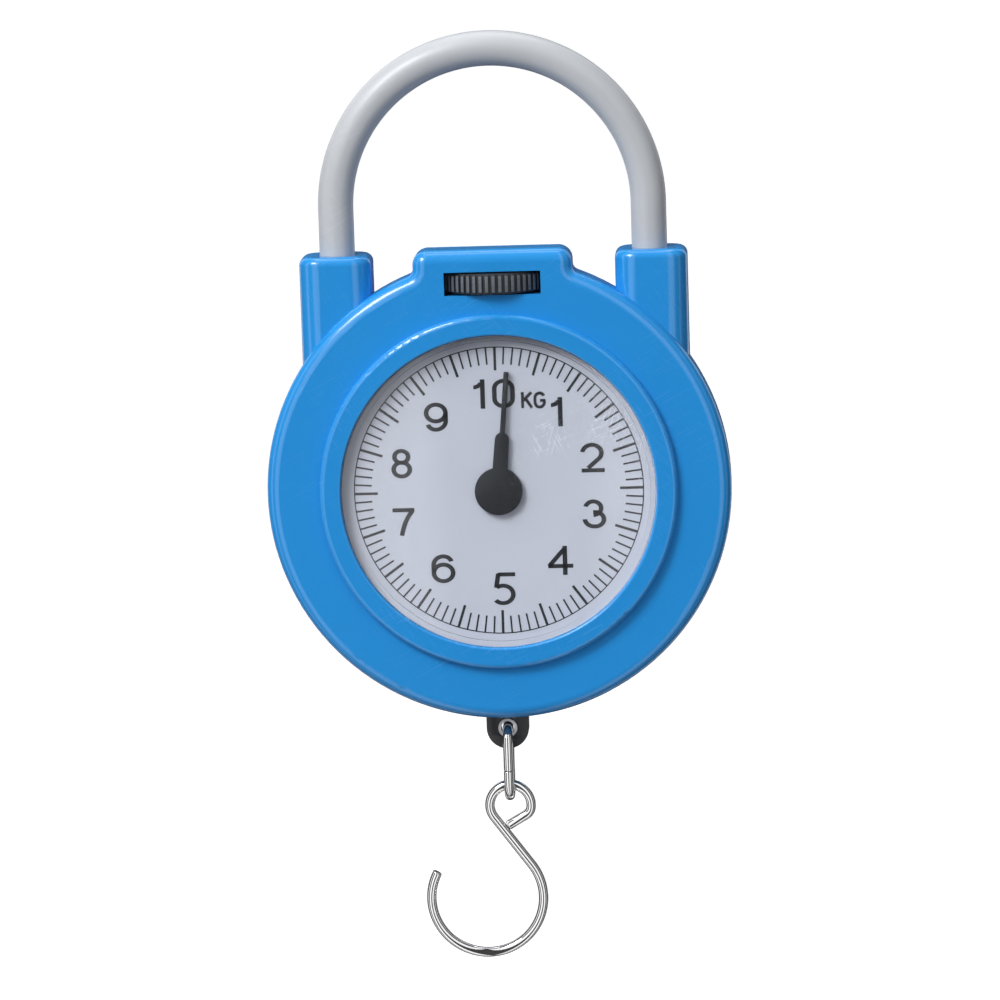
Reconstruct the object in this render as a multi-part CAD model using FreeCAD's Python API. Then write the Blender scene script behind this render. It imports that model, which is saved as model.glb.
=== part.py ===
"""Hanging spring scale for 10 kg: one STEP file for each piece, in parts/.

Frame, in millimetres: X to the right, Z up, and the dial faces -Y. The origin is on the
pointer's axis, at the flat back of the case. The handle, the thumb wheel, the springs,
the load bar and the hook all hang in one plane, which is also where the shells part.
"""
import FreeCAD, Part
import math
import os

V = FreeCAD.Vector

# ---------------------------------------------------------------- driving dimensions
# Case
BODY_R = 46.0               # round body
FRONT_DEPTH = 8.4           # parting plane to the flat of the front
BACK_DEPTH = 13.5           # parting plane to the back face
WALL = 2.0                  # every outer wall
FRONT_RIM = 2.5             # rounding of the front rim
BACK_RIM = 2.0              # rounding of the back rim
BACK_DRAFT = 7.0            # degrees, so that the back shell leaves its mould
SEAM_CHAMFER = 0.3          # on both edges of the seam
TONGUE = 0.95               # thickness of the tongue that laps the seam
TONGUE_DEPTH = 1.5
TONGUE_TOP = 20.0           # the tongue stays below this height
BODY_GAP = 0.3              # between pieces that move past each other

# Turret and zero wheel
TURRET_SIDE = 3.623         # height of the turret above the foot of its side
TURRET_CHEEK = 6.2          # beside the window
TURRET_CORNER = 2.8
TURRET_FOOT = 1.5           # hollow rounding where the turret meets the round body
WINDOW_GAP = 0.8            # beside the wheel, where the wheel comes through
WHEEL_BACK_GAP = 0.7        # between the wheel and the back wall
WHEEL_HEIGHT = 4.0
WHEEL_DROP = 8.6            # from the turret's top to the wheel's lower face
WHEEL_RIDGES = 52
WHEEL_RIDGE_DEPTH = 0.45
WHEEL_RIDGE_SHARE = 0.45    # of the pitch that a ridge's crest takes up
WHEEL_CHAMFER = 0.5
SHELF_THICK = 2.0
WASHER_R = 4.5
WASHER_THICK = 0.55
AXIAL_PLAY = 0.05           # between the wheel, its washer and the shelf
STOP_GAP = 0.6              # above the wheel
STOP_X = 7.0
STOP_THICK = 1.2

# Zero screw and spring yoke
SCREW_R = 2.0
THREAD_CLEARANCE = 0.05     # threads are plain cylinders
SCREW_PROUD = 1.0           # above the wheel
SCREW_END_CHAMFER = 0.25    # as a share of the screw's radius
SCREW_HEAD_FLATS = 7.0
SCREW_HEAD_THICK = 2.4
YOKE_DROP = 1.5             # below the shelf
YOKE_HEIGHT = 4.4
YOKE_THICK = 3.0
YOKE_BOSS_R = 4.2

# Springs
SPRING_R = 3.25             # to the middle of the wire
SPRING_WIRE = 1.15
SPRING_TURNS = 30
SPRING_BEND = 0.9           # where the last turn rises into its end hook
SPRING_HOLE_R = 1.2
SPRING_HOLE_DROP = 0.2      # the hook's wire bears off the middle of its hole
SPRING_SIDE_GAP = 0.875     # between a spring and the guide beside it

# Load bar
BAR_THICK = 3.0
FORK_WALL = 2.18            # behind the roots of the rack's teeth
BAR_HEAD_GAP = 1.4          # between the bar and the zero screw's head
CROSS_END = 2.4             # of the crosspiece, past the middle of each spring
CROSS_TOP = -12.0
CROSS_BOTTOM = -16.0
CROSS_CORNER = 1.0
FORK_FLOOR = -5.5
TAB_HALF = 4.25
TAB_THICK = 2.4
TAB_REACH = 3.05            # from the body's edge down to the middle of the hole
EYELET_SPARE = 0.3          # around the link's wire
EYELET_WALL = 0.3
EYELET_FLANGE = 0.25
EYELET_ROUND = 0.8          # as a share of the wall
GUIDE_CLEARANCE = 0.1
GUIDE_THICK = 1.2
GUIDE_TOP = 4.6
GUIDE_BOTTOM = -9.0
GUIDE_OVERLAP = 0.6

# Rack and pinion
MODULE = 0.5
PINION_TEETH = 15
PRESSURE_ANGLE = 20.0
RACK_ADDENDUM = 0.4
DEDENDUM = 0.62
BACKLASH = 0.1
RACK_LOW = -3               # the rack's lowest tooth, counted from the pinion's axis
FLANK_STEPS = 6             # straight cuts along each flank of the pinion

# Dial, lens and pointer
BEZEL_INSET = 10.6          # raised ring inside the rim of the body
BEZEL_WIDTH = 4.2
BEZEL_PROUD = 1.8
BEZEL_ROUND = 1.0
OPENING_ROUND = 0.4
LENS_CLEARANCE = 0.1
LENS_RECESS = 0.7           # lens below the front of the raised ring
LENS_THICK = 1.0
LENS_RIM = 1.2
LENS_ROUND = 0.4
SEAT_LAP = 1.9              # the lens flange's seat, past the opening
SEAT_LIP = 2.1              # thickness of the lip that holds the lens
DIAL_THICK = 0.6
DIAL_HOLE_R = 2.7
DIAL_KEY_HALF = 1.5
DIAL_KEY_DEPTH = 1.2
POINTER_GAP = 0.5           # pointer above the dial
POINTER_THICK = 0.6
HUB_R = 4.7
HUB_DROP = 0.1              # the hub reaches this much nearer to the dial
HUB_SKIN = 0.3
STEM_HALF = 1.55
STEM_TIP_HALF = 1.38
STEM_LENGTH = 11.7
NEEDLE_HALF = 0.5
NEEDLE_LENGTH = 23.7
POINTER_REST = 5.3          # degrees clockwise from the dial's zero

# Movement
SHAFT_R = 1.0
SHAFT_FIT = 0.05
BUSH_R = 2.5
BUSH_FLANGE_R = 3.4
BUSH_FLANGE = 0.7
REAR_BUSH_LENGTH = 3.8
REAR_BUSH_PROUD = 0.3
POST_R = 4.2
POST_FRONT = 2.9            # from the parting plane back to the post's end
COLLAR_R = 2.2
END_PLAY = 0.3
PLATE_LAP = 1.3             # past the seat of the dial
PLATE_THICK = 1.0
EAR_ANGLES = (20.0, 160.0, 220.0, 320.0)
EAR_REACH = 3.8             # from the plate's edge to the middle of a screw
EAR_HALF = 3.2
EAR_LIFT = 2.4
EAR_BOSS_R = 2.6
PLATE_HOLE_R = 5.0
PLATE_HOLE_RADIUS = 21.0
PLATE_HOLE_ANGLES = (90.0, 210.0, 330.0)

# Handle and its sockets
HANDLE_BAR_R = 3.5
HANDLE_HALF = 30.9
HANDLE_RISE = 10.0          # of the arch's centre, above the round body
HANDLE_LEG_DEPTH = 16.9     # inside the socket
HANDLE_CHAMFER = 0.5
SOCKET_SHIFT = 0.3          # of the block, outwards from the leg
SOCKET_SIDE_WALL = 3.65
SOCKET_FRONT_WALL = 2.9
SOCKET_BACK_WALL = 4.0
SOCKET_RISE = 0.9           # above the top of the round body
SOCKET_HEIGHT = 22.9
SOCKET_CORNER = 4.2
SOCKET_TOP_ROUND = 1.7
SOCKET_CLEARANCE = 0.1
SOCKET_FLOOR = 0.2          # below the leg
SOCKET_FLOOR_THICK = 1.8

# Screws
CASE_SCREW_INSET = 6.34     # inside the rim of the body
CASE_SCREW_ANGLE = 56.31    # degrees below level
CASE_POST_R = 3.6
CASE_PILLAR_R = 4.6
CASE_SCREW_SUNK = 6.0
SHANK_R = 1.45
SHANK_HOLE_R = 1.7
PILOT_CLEARANCE = 0.05
CASE_HEAD_R = 2.8
CASE_HEAD = 1.8
HEAD_CLEARANCE = 0.4
CASE_SCREW_BITE = 5.5
HANDLE_SCREW_DROP = 8.9     # below the top of the socket
HANDLE_SCREW_SUNK = 2.2
HANDLE_HEAD_R = 2.6
HANDLE_HEAD = 1.7
HANDLE_SCREW_GRIP = 1.9     # past the handle's bar
SMALL_SHANK_R = 1.1
SMALL_HEAD_R = 2.0
SMALL_HEAD = 1.3
SMALL_BITE = 3.4
PILOT_SPARE = 0.2
HEAD_ROUND = 0.4            # as a share of the head's thickness
RECESS_FLOOR = 0.4          # metal below the driver recess, as a share of that thickness
RECESS_ARM = 0.6            # the recess's arms, as a share of the head's radius
RECESS_SLOT = 0.35

# Link and hook
LINK_WIRE_R = 1.0
LINK_BEND_R = 3.25
LINK_LENGTH = 14.2          # between the middles of the wire, top to bottom
LINK_RISE = 0.18            # wire above the middle of the eyelet
LINK_SPLIT_DROP = 5.28      # below the centre of the upper bend
LINK_SPLIT = 0.15
HOOK_WIRE_R = 1.0
HOOK_EYE_R = 4.15
EYE_GAP = 0.12              # between the eye and the link it hangs on
TAIL_BEND_R = 2.0
TAIL_BEND_START = -9.0      # degrees, where the eye tightens into its tail
TAIL_SLOPE = 30.0
TAIL_GAP = 0.15             # between the tail's end and the shank
BIG_BEND_R = 11.3
BIG_BEND_X = -5.2
BIG_BEND_DROP = 19.0        # below the centre of the eye
TIP_ANGLE = 151.0
WIRE_END_ROUND = 0.35       # as a share of the wire's radius

# ---------------------------------------------------------------- places worked out
# Depths
LOAD_Y = -BACK_DEPTH
FRONT_Y = LOAD_Y - FRONT_DEPTH
INNER_FRONT = FRONT_Y + WALL
INNER_BACK = -WALL
BEZEL_Y = FRONT_Y - BEZEL_PROUD
SEAT_Y = BEZEL_Y + SEAT_LIP
DIAL_Y = INNER_FRONT - DIAL_THICK
LENS_Y = BEZEL_Y + LENS_RECESS
POINTER_BACK = DIAL_Y - POINTER_GAP
POINTER_FRONT = POINTER_BACK - POINTER_THICK
PLATE_BACK = INNER_FRONT + PLATE_THICK
EAR_Y = INNER_FRONT + EAR_LIFT
POST_Y = LOAD_Y + POST_FRONT
REAR_BUSH_Y = POST_Y - REAR_BUSH_PROUD

# Radii about the pointer's axis
BEZEL_R = BODY_R - BEZEL_INSET
OPENING_R = BEZEL_R - BEZEL_WIDTH
SEAT_R = OPENING_R + SEAT_LAP
PLATE_R = SEAT_R + PLATE_LAP
EAR_RADIUS = PLATE_R + EAR_REACH

# Zero wheel, from the turret's top down to the spring yoke
WHEEL_R = BACK_DEPTH - WALL - WHEEL_BACK_GAP
WINDOW_HALF = math.sqrt(WHEEL_R ** 2 - (FRONT_DEPTH - WALL) ** 2) + WINDOW_GAP
TURRET_HALF = WINDOW_HALF + TURRET_CHEEK
TURRET_TOP = (math.sqrt((BODY_R + TURRET_FOOT) ** 2 - (TURRET_HALF + TURRET_FOOT) ** 2)
              + TURRET_SIDE)
WHEEL_BOTTOM = TURRET_TOP - WHEEL_DROP
WHEEL_TOP = WHEEL_BOTTOM + WHEEL_HEIGHT
SCREW_TOP = WHEEL_TOP + SCREW_PROUD
SHELF_TOP = WHEEL_BOTTOM - WASHER_THICK - AXIAL_PLAY
SHELF_BOTTOM = SHELF_TOP - SHELF_THICK
YOKE_TOP = SHELF_BOTTOM - YOKE_DROP
YOKE_BOTTOM = YOKE_TOP - YOKE_HEIGHT
YOKE_HOLE_Z = YOKE_TOP - YOKE_HEIGHT / 2

# Rack, load bar and springs
PITCH_R = MODULE * PINION_TEETH / 2
RACK_PITCH = math.pi * MODULE
PITCH_LINE = PITCH_R + BACKLASH / 2
RACK_ROOT_X = PITCH_LINE + DEDENDUM
BAR_HALF = RACK_ROOT_X + FORK_WALL
BAR_TOP = YOKE_BOTTOM - SCREW_HEAD_THICK - BAR_HEAD_GAP
RACK_HIGH = int(BAR_TOP / RACK_PITCH - 0.5)
BAR_HOLE_Z = (CROSS_TOP + CROSS_BOTTOM) / 2
SPRING_X = (BAR_HALF + GUIDE_CLEARANCE + GUIDE_THICK + SPRING_SIDE_GAP + SPRING_WIRE / 2
            + SPRING_R)
CROSS_HALF = SPRING_X + CROSS_END
SPRING_LOW = BAR_HOLE_Z - SPRING_HOLE_DROP + SPRING_R
SPRING_HIGH = YOKE_HOLE_Z + SPRING_HOLE_DROP - SPRING_R

# Handle, its sockets and the screws
HANDLE_ARCH_Z = BODY_R + HANDLE_RISE
SOCKET_TOP = BODY_R + SOCKET_RISE
SOCKET_FOOT = SOCKET_TOP - SOCKET_HEIGHT
SOCKET_X = HANDLE_HALF + SOCKET_SHIFT
SOCKET_HALF = HANDLE_BAR_R + SOCKET_SIDE_WALL
SOCKET_FRONT_Y = LOAD_Y - HANDLE_BAR_R - SOCKET_FRONT_WALL
SOCKET_BACK_Y = LOAD_Y + HANDLE_BAR_R + SOCKET_BACK_WALL
HANDLE_LEG_END = SOCKET_TOP - HANDLE_LEG_DEPTH
HANDLE_SCREW_Z = SOCKET_TOP - HANDLE_SCREW_DROP
HANDLE_SCREW_POINT = LOAD_Y - HANDLE_BAR_R - HANDLE_SCREW_GRIP
CASE_SCREW_X = (BODY_R - CASE_SCREW_INSET) * math.cos(math.radians(CASE_SCREW_ANGLE))
CASE_SCREW_Z = -(BODY_R - CASE_SCREW_INSET) * math.sin(math.radians(CASE_SCREW_ANGLE))

# Tab, link and hook
TAB_HOLE_Z = -BODY_R - TAB_REACH
EYELET_BORE_R = LINK_WIRE_R + EYELET_SPARE
EYELET_BARREL_R = EYELET_BORE_R + EYELET_WALL
EYELET_R = EYELET_BARREL_R + EYELET_WALL
LINK_TOP = TAB_HOLE_Z + LINK_RISE - LINK_BEND_R
LINK_BOTTOM = LINK_TOP - LINK_LENGTH + 2 * LINK_BEND_R
LINK_SPLIT_Z = LINK_TOP - LINK_SPLIT_DROP
EYE_Z = LINK_BOTTOM - LINK_BEND_R + LINK_WIRE_R + HOOK_WIRE_R + EYE_GAP - HOOK_EYE_R
BIG_BEND_Z = EYE_Z - BIG_BEND_DROP


# ---------------------------------------------------------------- shapes
def box(x0, x1, y0, y1, z0, z1):
    """A block between two corners."""
    return Part.makeBox(x1 - x0, y1 - y0, z1 - z0, V(x0, y0, z0))


def rod_y(radius, x, z, y0, y1):
    """A cylinder along Y."""
    return Part.makeCylinder(radius, y1 - y0, V(x, y0, z), V(0, 1, 0))


def rod_z(radius, x, y, z0, z1):
    """A cylinder along Z."""
    return Part.makeCylinder(radius, z1 - z0, V(x, y, z0), V(0, 0, 1))


def ring_y(outer, inner, y0, y1):
    """A ring about the pointer's axis."""
    return rod_y(outer, 0, 0, y0, y1).cut(rod_y(inner, 0, 0, y0 - 1, y1 + 1))


def both_sides(make):
    """What make(side) gives on the left and on the right."""
    return [make(side) for side in (-1, 1)]


def flat(points, y):
    """A face at depth y from (x, z) corners."""
    corners = [V(x, y, z) for x, z in points]
    return Part.Face(Part.makePolygon(corners + corners[:1]))


def round_edges(shape, radius, chosen):
    """Rounds the edges for which chosen(edge) is true."""
    return shape.makeFillet(radius, [e for e in shape.Edges if chosen(e)])


def at_depth(y):
    """Chooses the edges that lie wholly at depth y."""
    return lambda e: abs(e.BoundBox.YMin - y) < 1e-4 and abs(e.BoundBox.YMax - y) < 1e-4


def arc_about(cx, cz, radius, start, end, y):
    """An arc in the XZ plane, from angle start to angle end in degrees."""
    def point(angle):
        a = math.radians(angle)
        return V(cx + radius * math.cos(a), y, cz + radius * math.sin(a))
    return Part.Arc(point(start), point((start + end) / 2), point(end)).toShape()


def line(a, b):
    """A straight edge."""
    return Part.LineSegment(a, b).toShape()


def wire_along(edges, radius):
    """Round wire along edges that follow each other with no corner."""
    path = Part.Wire(edges)
    start = path.Edges[0]
    section = Part.Wire(Part.makeCircle(radius, start.valueAt(start.FirstParameter),
                                        start.tangentAt(start.FirstParameter)))
    return path.makePipeShell([section], True, False)


# ---------------------------------------------------------------- case
def case_outline(inset, y):
    """The round body with the turret on it, drawn inset by some amount, at depth y."""
    radius = BODY_R - inset
    half = TURRET_HALF - inset
    top = TURRET_TOP - inset
    foot_x = half + TURRET_FOOT
    foot_z = math.sqrt((radius + TURRET_FOOT) ** 2 - foot_x ** 2)
    reach = radius / (radius + TURRET_FOOT)
    foot_angle = math.degrees(math.atan2(foot_z, foot_x))
    right = V(foot_x * reach, y, foot_z * reach)
    left = V(-foot_x * reach, y, foot_z * reach)
    corner = TURRET_CORNER
    return Part.Wire([
        Part.Arc(right, V(0, y, -radius), left).toShape(),
        arc_about(-foot_x, foot_z, TURRET_FOOT, -foot_angle, 0, y),
        line(V(-half, y, foot_z), V(-half, y, top - corner)),
        arc_about(-half + corner, top - corner, corner, 180, 90, y),
        line(V(-half + corner, y, top), V(half - corner, y, top)),
        arc_about(half - corner, top - corner, corner, 90, 0, y),
        line(V(half, y, top - corner), V(half, y, foot_z)),
        arc_about(foot_x, foot_z, TURRET_FOOT, 180, 180 + foot_angle, y)])


def draft(depth):
    """How far the back shell has drawn in at a depth behind the seam."""
    return depth * math.tan(math.radians(BACK_DRAFT))


def between(inset0, y0, inset1, y1):
    """The solid between two case outlines."""
    return Part.makeLoft([case_outline(inset0, y0), case_outline(inset1, y1)], True, True)


def socket_block(side):
    """The block that takes one leg of the handle, both halves of it."""
    x0 = side * SOCKET_X - SOCKET_HALF
    block = box(x0, x0 + 2 * SOCKET_HALF, SOCKET_FRONT_Y, SOCKET_BACK_Y, SOCKET_FOOT,
                SOCKET_TOP)
    block = round_edges(block, SOCKET_CORNER, lambda e: e.BoundBox.ZLength > 1)
    return round_edges(block, SOCKET_TOP_ROUND,
                       lambda e: abs(e.BoundBox.ZMin - SOCKET_TOP) < 1e-4)


def socket_column(side):
    """The part of the block that stands inside the round body."""
    return socket_block(side).common(
        box(-2 * BODY_R, 2 * BODY_R, INNER_FRONT, INNER_BACK,
            HANDLE_LEG_END - SOCKET_FLOOR - SOCKET_FLOOR_THICK, SOCKET_TOP))


def socket_bore(side):
    """The hole for a leg of the handle."""
    return rod_z(HANDLE_BAR_R + SOCKET_CLEARANCE, side * HANDLE_HALF, LOAD_Y,
                 HANDLE_LEG_END - SOCKET_FLOOR, SOCKET_TOP + 1)


def tab_slot(y0, y1):
    """The way out for the load bar's tab, between two depths."""
    half = TAB_THICK / 2 + BODY_GAP
    return box(-TAB_HALF - BODY_GAP, TAB_HALF + BODY_GAP, max(y0, LOAD_Y - half),
               min(y1, LOAD_Y + half), -BODY_R - 1, -BODY_R + 3 * WALL)


def seam_ring(outer, depth, spare):
    """The lap at the seam, on the lower round part only, clear of the tab's slot."""
    ring = ring_y(outer, BODY_R - WALL, LOAD_Y - depth, LOAD_Y)
    slot = TAB_HALF + 2 * WALL - spare
    return ring.cut([box(-BODY_R, BODY_R, FRONT_Y, 0, TONGUE_TOP + spare, BODY_R),
                     box(-slot, slot, FRONT_Y, 0, -BODY_R, 0)])


def wheel_supports(cavity, y0, y1):
    """The shelf below the wheel and the two stops above it, between two depths."""
    shelf = box(-BODY_R, BODY_R, y0, y1, SHELF_BOTTOM, SHELF_TOP).common(cavity)
    shelf = shelf.cut(rod_z(SCREW_R + BODY_GAP, 0, LOAD_Y, SHELF_BOTTOM - 1, SHELF_TOP + 1))
    stops = both_sides(lambda side: box(side * STOP_X - STOP_THICK / 2,
                                        side * STOP_X + STOP_THICK / 2, y0, y1,
                                        WHEEL_TOP + STOP_GAP, TURRET_TOP).common(cavity))
    return [shelf] + stops


def ear_place(angle):
    """(x, z) of one of the movement plate's screws."""
    a = math.radians(angle)
    return EAR_RADIUS * math.cos(a), EAR_RADIUS * math.sin(a)


def front_shell():
    """Front cover, with the raised ring, the turret's front and half of each socket."""
    body = between(0, FRONT_Y, 0, LOAD_Y)
    body = round_edges(body, FRONT_RIM, at_depth(FRONT_Y))
    body = body.makeChamfer(SEAM_CHAMFER, [e for e in body.Edges if at_depth(LOAD_Y)(e)])
    bezel = rod_y(BEZEL_R, 0, 0, BEZEL_Y, FRONT_Y + WALL / 2)
    bezel = round_edges(bezel, BEZEL_ROUND, at_depth(BEZEL_Y))
    front_half = box(-2 * BODY_R, 2 * BODY_R, BEZEL_Y, LOAD_Y, -BODY_R, TURRET_TOP)
    blocks = both_sides(lambda side: socket_block(side).common(front_half))
    shell = body.fuse([bezel] + blocks)
    shell = shell.cut(rod_y(OPENING_R, 0, 0, BEZEL_Y - 1, 0))
    shell = round_edges(shell, OPENING_ROUND, lambda e: at_depth(BEZEL_Y)(e)
                        and abs(e.BoundBox.XMax - OPENING_R) < 1e-3)
    shell = shell.cut(rod_y(SEAT_R, 0, 0, SEAT_Y, 0))
    cavity = between(WALL, INNER_FRONT, WALL, LOAD_Y)
    columns = both_sides(lambda side: socket_column(side).common(front_half))
    shell = shell.cut(cavity.cut(columns))
    solids = wheel_supports(cavity, INNER_FRONT, LOAD_Y)
    for angle in EAR_ANGLES:
        solids.append(rod_y(EAR_BOSS_R, *ear_place(angle), INNER_FRONT, EAR_Y))
    for side in (-1, 1):
        solids.append(rod_y(CASE_POST_R, side * CASE_SCREW_X, CASE_SCREW_Z,
                            INNER_FRONT - WALL / 2, LOAD_Y))
    key_foot = -SEAT_R - 1
    solids.append(box(-DIAL_KEY_HALF + LENS_CLEARANCE, DIAL_KEY_HALF - LENS_CLEARANCE,
                      DIAL_Y, INNER_FRONT, key_foot, -SEAT_R + DIAL_KEY_DEPTH))
    shell = shell.fuse(solids)
    holes = [tab_slot(FRONT_Y, LOAD_Y + 1)]
    holes.append(seam_ring(BODY_R - WALL + TONGUE + AXIAL_PLAY, TONGUE_DEPTH + GUIDE_CLEARANCE,
                           GUIDE_CLEARANCE))
    holes.append(box(-WINDOW_HALF, WINDOW_HALF, FRONT_Y - 1, INNER_FRONT + 1,
                     WHEEL_BOTTOM - BODY_GAP, WHEEL_TOP + BODY_GAP))
    holes += both_sides(socket_bore)
    for angle in EAR_ANGLES:
        x, z = ear_place(angle)
        holes.append(rod_y(SMALL_SHANK_R + PILOT_CLEARANCE, x, z,
                           EAR_Y - SMALL_BITE - PILOT_SPARE, EAR_Y + 1))
    for side in (-1, 1):
        holes.append(rod_y(SHANK_R + PILOT_CLEARANCE, side * CASE_SCREW_X, CASE_SCREW_Z,
                           LOAD_Y - CASE_SCREW_BITE - PILOT_SPARE, LOAD_Y + 1))
        holes.append(rod_y(SHANK_R + PILOT_CLEARANCE, side * HANDLE_HALF, HANDLE_SCREW_Z,
                           HANDLE_SCREW_POINT - PILOT_SPARE, LOAD_Y + 1))
    return shell.cut(holes)


def back_shell():
    """Back cover, with the tongue, the bearing post, the guides and the screw pillars."""
    body = between(0, LOAD_Y, draft(BACK_DEPTH), 0)
    body = round_edges(body, BACK_RIM, at_depth(0))
    body = body.makeChamfer(SEAM_CHAMFER, [e for e in body.Edges if at_depth(LOAD_Y)(e)])
    back_half = box(-2 * BODY_R, 2 * BODY_R, LOAD_Y, 0, -BODY_R, TURRET_TOP)
    blocks = both_sides(lambda side: socket_block(side).common(back_half))
    cavity = between(WALL, LOAD_Y, WALL + draft(BACK_DEPTH - WALL), INNER_BACK)
    columns = both_sides(lambda side: socket_column(side).common(back_half))
    shell = body.fuse(blocks).cut(cavity.cut(columns))
    solids = wheel_supports(cavity, LOAD_Y, INNER_BACK)
    solids.append(seam_ring(BODY_R - WALL + TONGUE, TONGUE_DEPTH, 0))
    solids.append(rod_y(POST_R, 0, 0, POST_Y, INNER_BACK))
    guide = BAR_HALF + GUIDE_CLEARANCE + GUIDE_THICK / 2
    guide_front = LOAD_Y - BAR_THICK / 2 - GUIDE_OVERLAP
    solids += both_sides(lambda side: box(side * guide - GUIDE_THICK / 2,
                                          side * guide + GUIDE_THICK / 2, guide_front,
                                          INNER_BACK, GUIDE_BOTTOM, GUIDE_TOP))
    for side in (-1, 1):
        solids.append(rod_y(CASE_PILLAR_R, side * CASE_SCREW_X, CASE_SCREW_Z, LOAD_Y,
                            INNER_BACK))
    shell = shell.fuse(solids)
    holes = [tab_slot(LOAD_Y - TONGUE_DEPTH - 1, 0)]
    holes.append(rod_y(BUSH_R, 0, 0, POST_Y - 1, REAR_BUSH_Y + REAR_BUSH_LENGTH + END_PLAY))
    holes += both_sides(socket_bore)
    for side in (-1, 1):
        holes += screw_way(side * CASE_SCREW_X, CASE_SCREW_Z, -CASE_SCREW_SUNK,
                           CASE_HEAD_R, 1)
        holes += screw_way(side * HANDLE_HALF, HANDLE_SCREW_Z,
                           SOCKET_BACK_Y - HANDLE_SCREW_SUNK, HANDLE_HEAD_R, 1)
    return shell.cut(holes)


def screw_way(x, z, seat, head_radius, beyond):
    """The hole for a shank and the sunk hole for its head, whose seat is at depth seat."""
    return [rod_y(SHANK_HOLE_R, x, z, LOAD_Y - beyond, seat + beyond),
            rod_y(head_radius + HEAD_CLEARANCE, x, z, seat, beyond)]


def screw(x, z, seat, head_radius, head, shank_radius, point):
    """A pan-head screw driven from the back: its head stands behind depth seat."""
    cap = rod_y(head_radius, x, z, seat, seat + head)
    cap = round_edges(cap, head * HEAD_ROUND, at_depth(seat + head))
    arm = head_radius * RECESS_ARM
    slot = head_radius * RECESS_SLOT / 2
    depth = seat + head * RECESS_FLOOR
    cross = box(x - arm, x + arm, depth, seat + head + 1, z - slot, z + slot).fuse(
        box(x - slot, x + slot, depth, seat + head + 1, z - arm, z + arm))
    return cap.cut(cross).fuse(rod_y(shank_radius, x, z, point, seat))


def case_screws():
    """The two screws low in the back."""
    return Part.makeCompound(both_sides(lambda side: screw(
        side * CASE_SCREW_X, CASE_SCREW_Z, -CASE_SCREW_SUNK, CASE_HEAD_R, CASE_HEAD, SHANK_R,
        LOAD_Y - CASE_SCREW_BITE)))


def handle_screws():
    """The two screws through the sockets and the handle's legs."""
    return Part.makeCompound(both_sides(lambda side: screw(
        side * HANDLE_HALF, HANDLE_SCREW_Z, SOCKET_BACK_Y - HANDLE_SCREW_SUNK, HANDLE_HEAD_R,
        HANDLE_HEAD, SHANK_R, HANDLE_SCREW_POINT)))


def handle():
    """The arch of round bar, with a cross hole in each leg."""
    left = V(-HANDLE_HALF, LOAD_Y, HANDLE_ARCH_Z)
    right = V(HANDLE_HALF, LOAD_Y, HANDLE_ARCH_Z)
    foot = V(0, 0, HANDLE_LEG_END - HANDLE_ARCH_Z)
    bar = wire_along([line(left + foot, left),
                      Part.Arc(left, V(0, LOAD_Y, HANDLE_ARCH_Z + HANDLE_HALF), right).toShape(),
                      line(right, right + foot)], HANDLE_BAR_R)
    ends = [e for e in bar.Edges if abs(e.BoundBox.ZMax - HANDLE_LEG_END) < 1e-3]
    bar = bar.makeChamfer(HANDLE_CHAMFER, ends)
    return bar.cut(both_sides(lambda side: rod_y(
        SHANK_HOLE_R, side * HANDLE_HALF, HANDLE_SCREW_Z, LOAD_Y - 2 * HANDLE_BAR_R,
        LOAD_Y + 2 * HANDLE_BAR_R)))


# ---------------------------------------------------------------- dial side
def lens():
    """Clear cup: a window, a short rim and a flange that sits behind the raised ring."""
    outer = OPENING_R - LENS_CLEARANCE
    inner = outer - LENS_RIM
    cup = rod_y(outer, 0, 0, LENS_Y, SEAT_Y)
    cup = round_edges(cup, LENS_ROUND, at_depth(LENS_Y))
    cup = cup.fuse(rod_y(SEAT_R - LENS_CLEARANCE, 0, 0, SEAT_Y, DIAL_Y))
    return cup.cut(rod_y(inner, 0, 0, LENS_Y + LENS_THICK, 0))


def dial_plate():
    """White disc with a hole for the bush and a notch for its key."""
    radius = SEAT_R - LENS_CLEARANCE
    plate = rod_y(radius, 0, 0, DIAL_Y, INNER_FRONT)
    notch = box(-DIAL_KEY_HALF, DIAL_KEY_HALF, DIAL_Y - 1, INNER_FRONT + 1, -radius - 1,
                -SEAT_R + DIAL_KEY_DEPTH + LENS_CLEARANCE)
    return plate.cut([rod_y(DIAL_HOLE_R, 0, 0, DIAL_Y - 1, INNER_FRONT + 1), notch])


def movement_plate():
    """Pressed plate behind the dial, with four ears set back onto the shell's bosses."""
    plate = rod_y(PLATE_R, 0, 0, INNER_FRONT, PLATE_BACK)
    ear_back = EAR_Y + PLATE_THICK
    ears = []
    holes = [rod_y(BUSH_R, 0, 0, INNER_FRONT - 1, PLATE_BACK + 1)]
    for angle in EAR_ANGLES:
        riser = box(PLATE_R - PLATE_THICK, PLATE_R, INNER_FRONT, ear_back, -EAR_HALF, EAR_HALF)
        pad = box(PLATE_R - PLATE_THICK, EAR_RADIUS, EAR_Y, ear_back, -EAR_HALF, EAR_HALF)
        tip = rod_y(EAR_HALF, EAR_RADIUS, 0, EAR_Y, ear_back)
        ear = riser.fuse([pad, tip]).removeSplitter()
        ear.rotate(V(0, 0, 0), V(0, 1, 0), -angle)
        ears.append(ear)
        holes.append(rod_y(SMALL_SHANK_R + PILOT_CLEARANCE, *ear_place(angle), EAR_Y - 1,
                           ear_back + 1))
    for angle in PLATE_HOLE_ANGLES:
        a = math.radians(angle)
        holes.append(rod_y(PLATE_HOLE_R, PLATE_HOLE_RADIUS * math.cos(a),
                           PLATE_HOLE_RADIUS * math.sin(a), INNER_FRONT - 1, PLATE_BACK + 1))
    return plate.fuse(ears).cut(holes)


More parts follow.
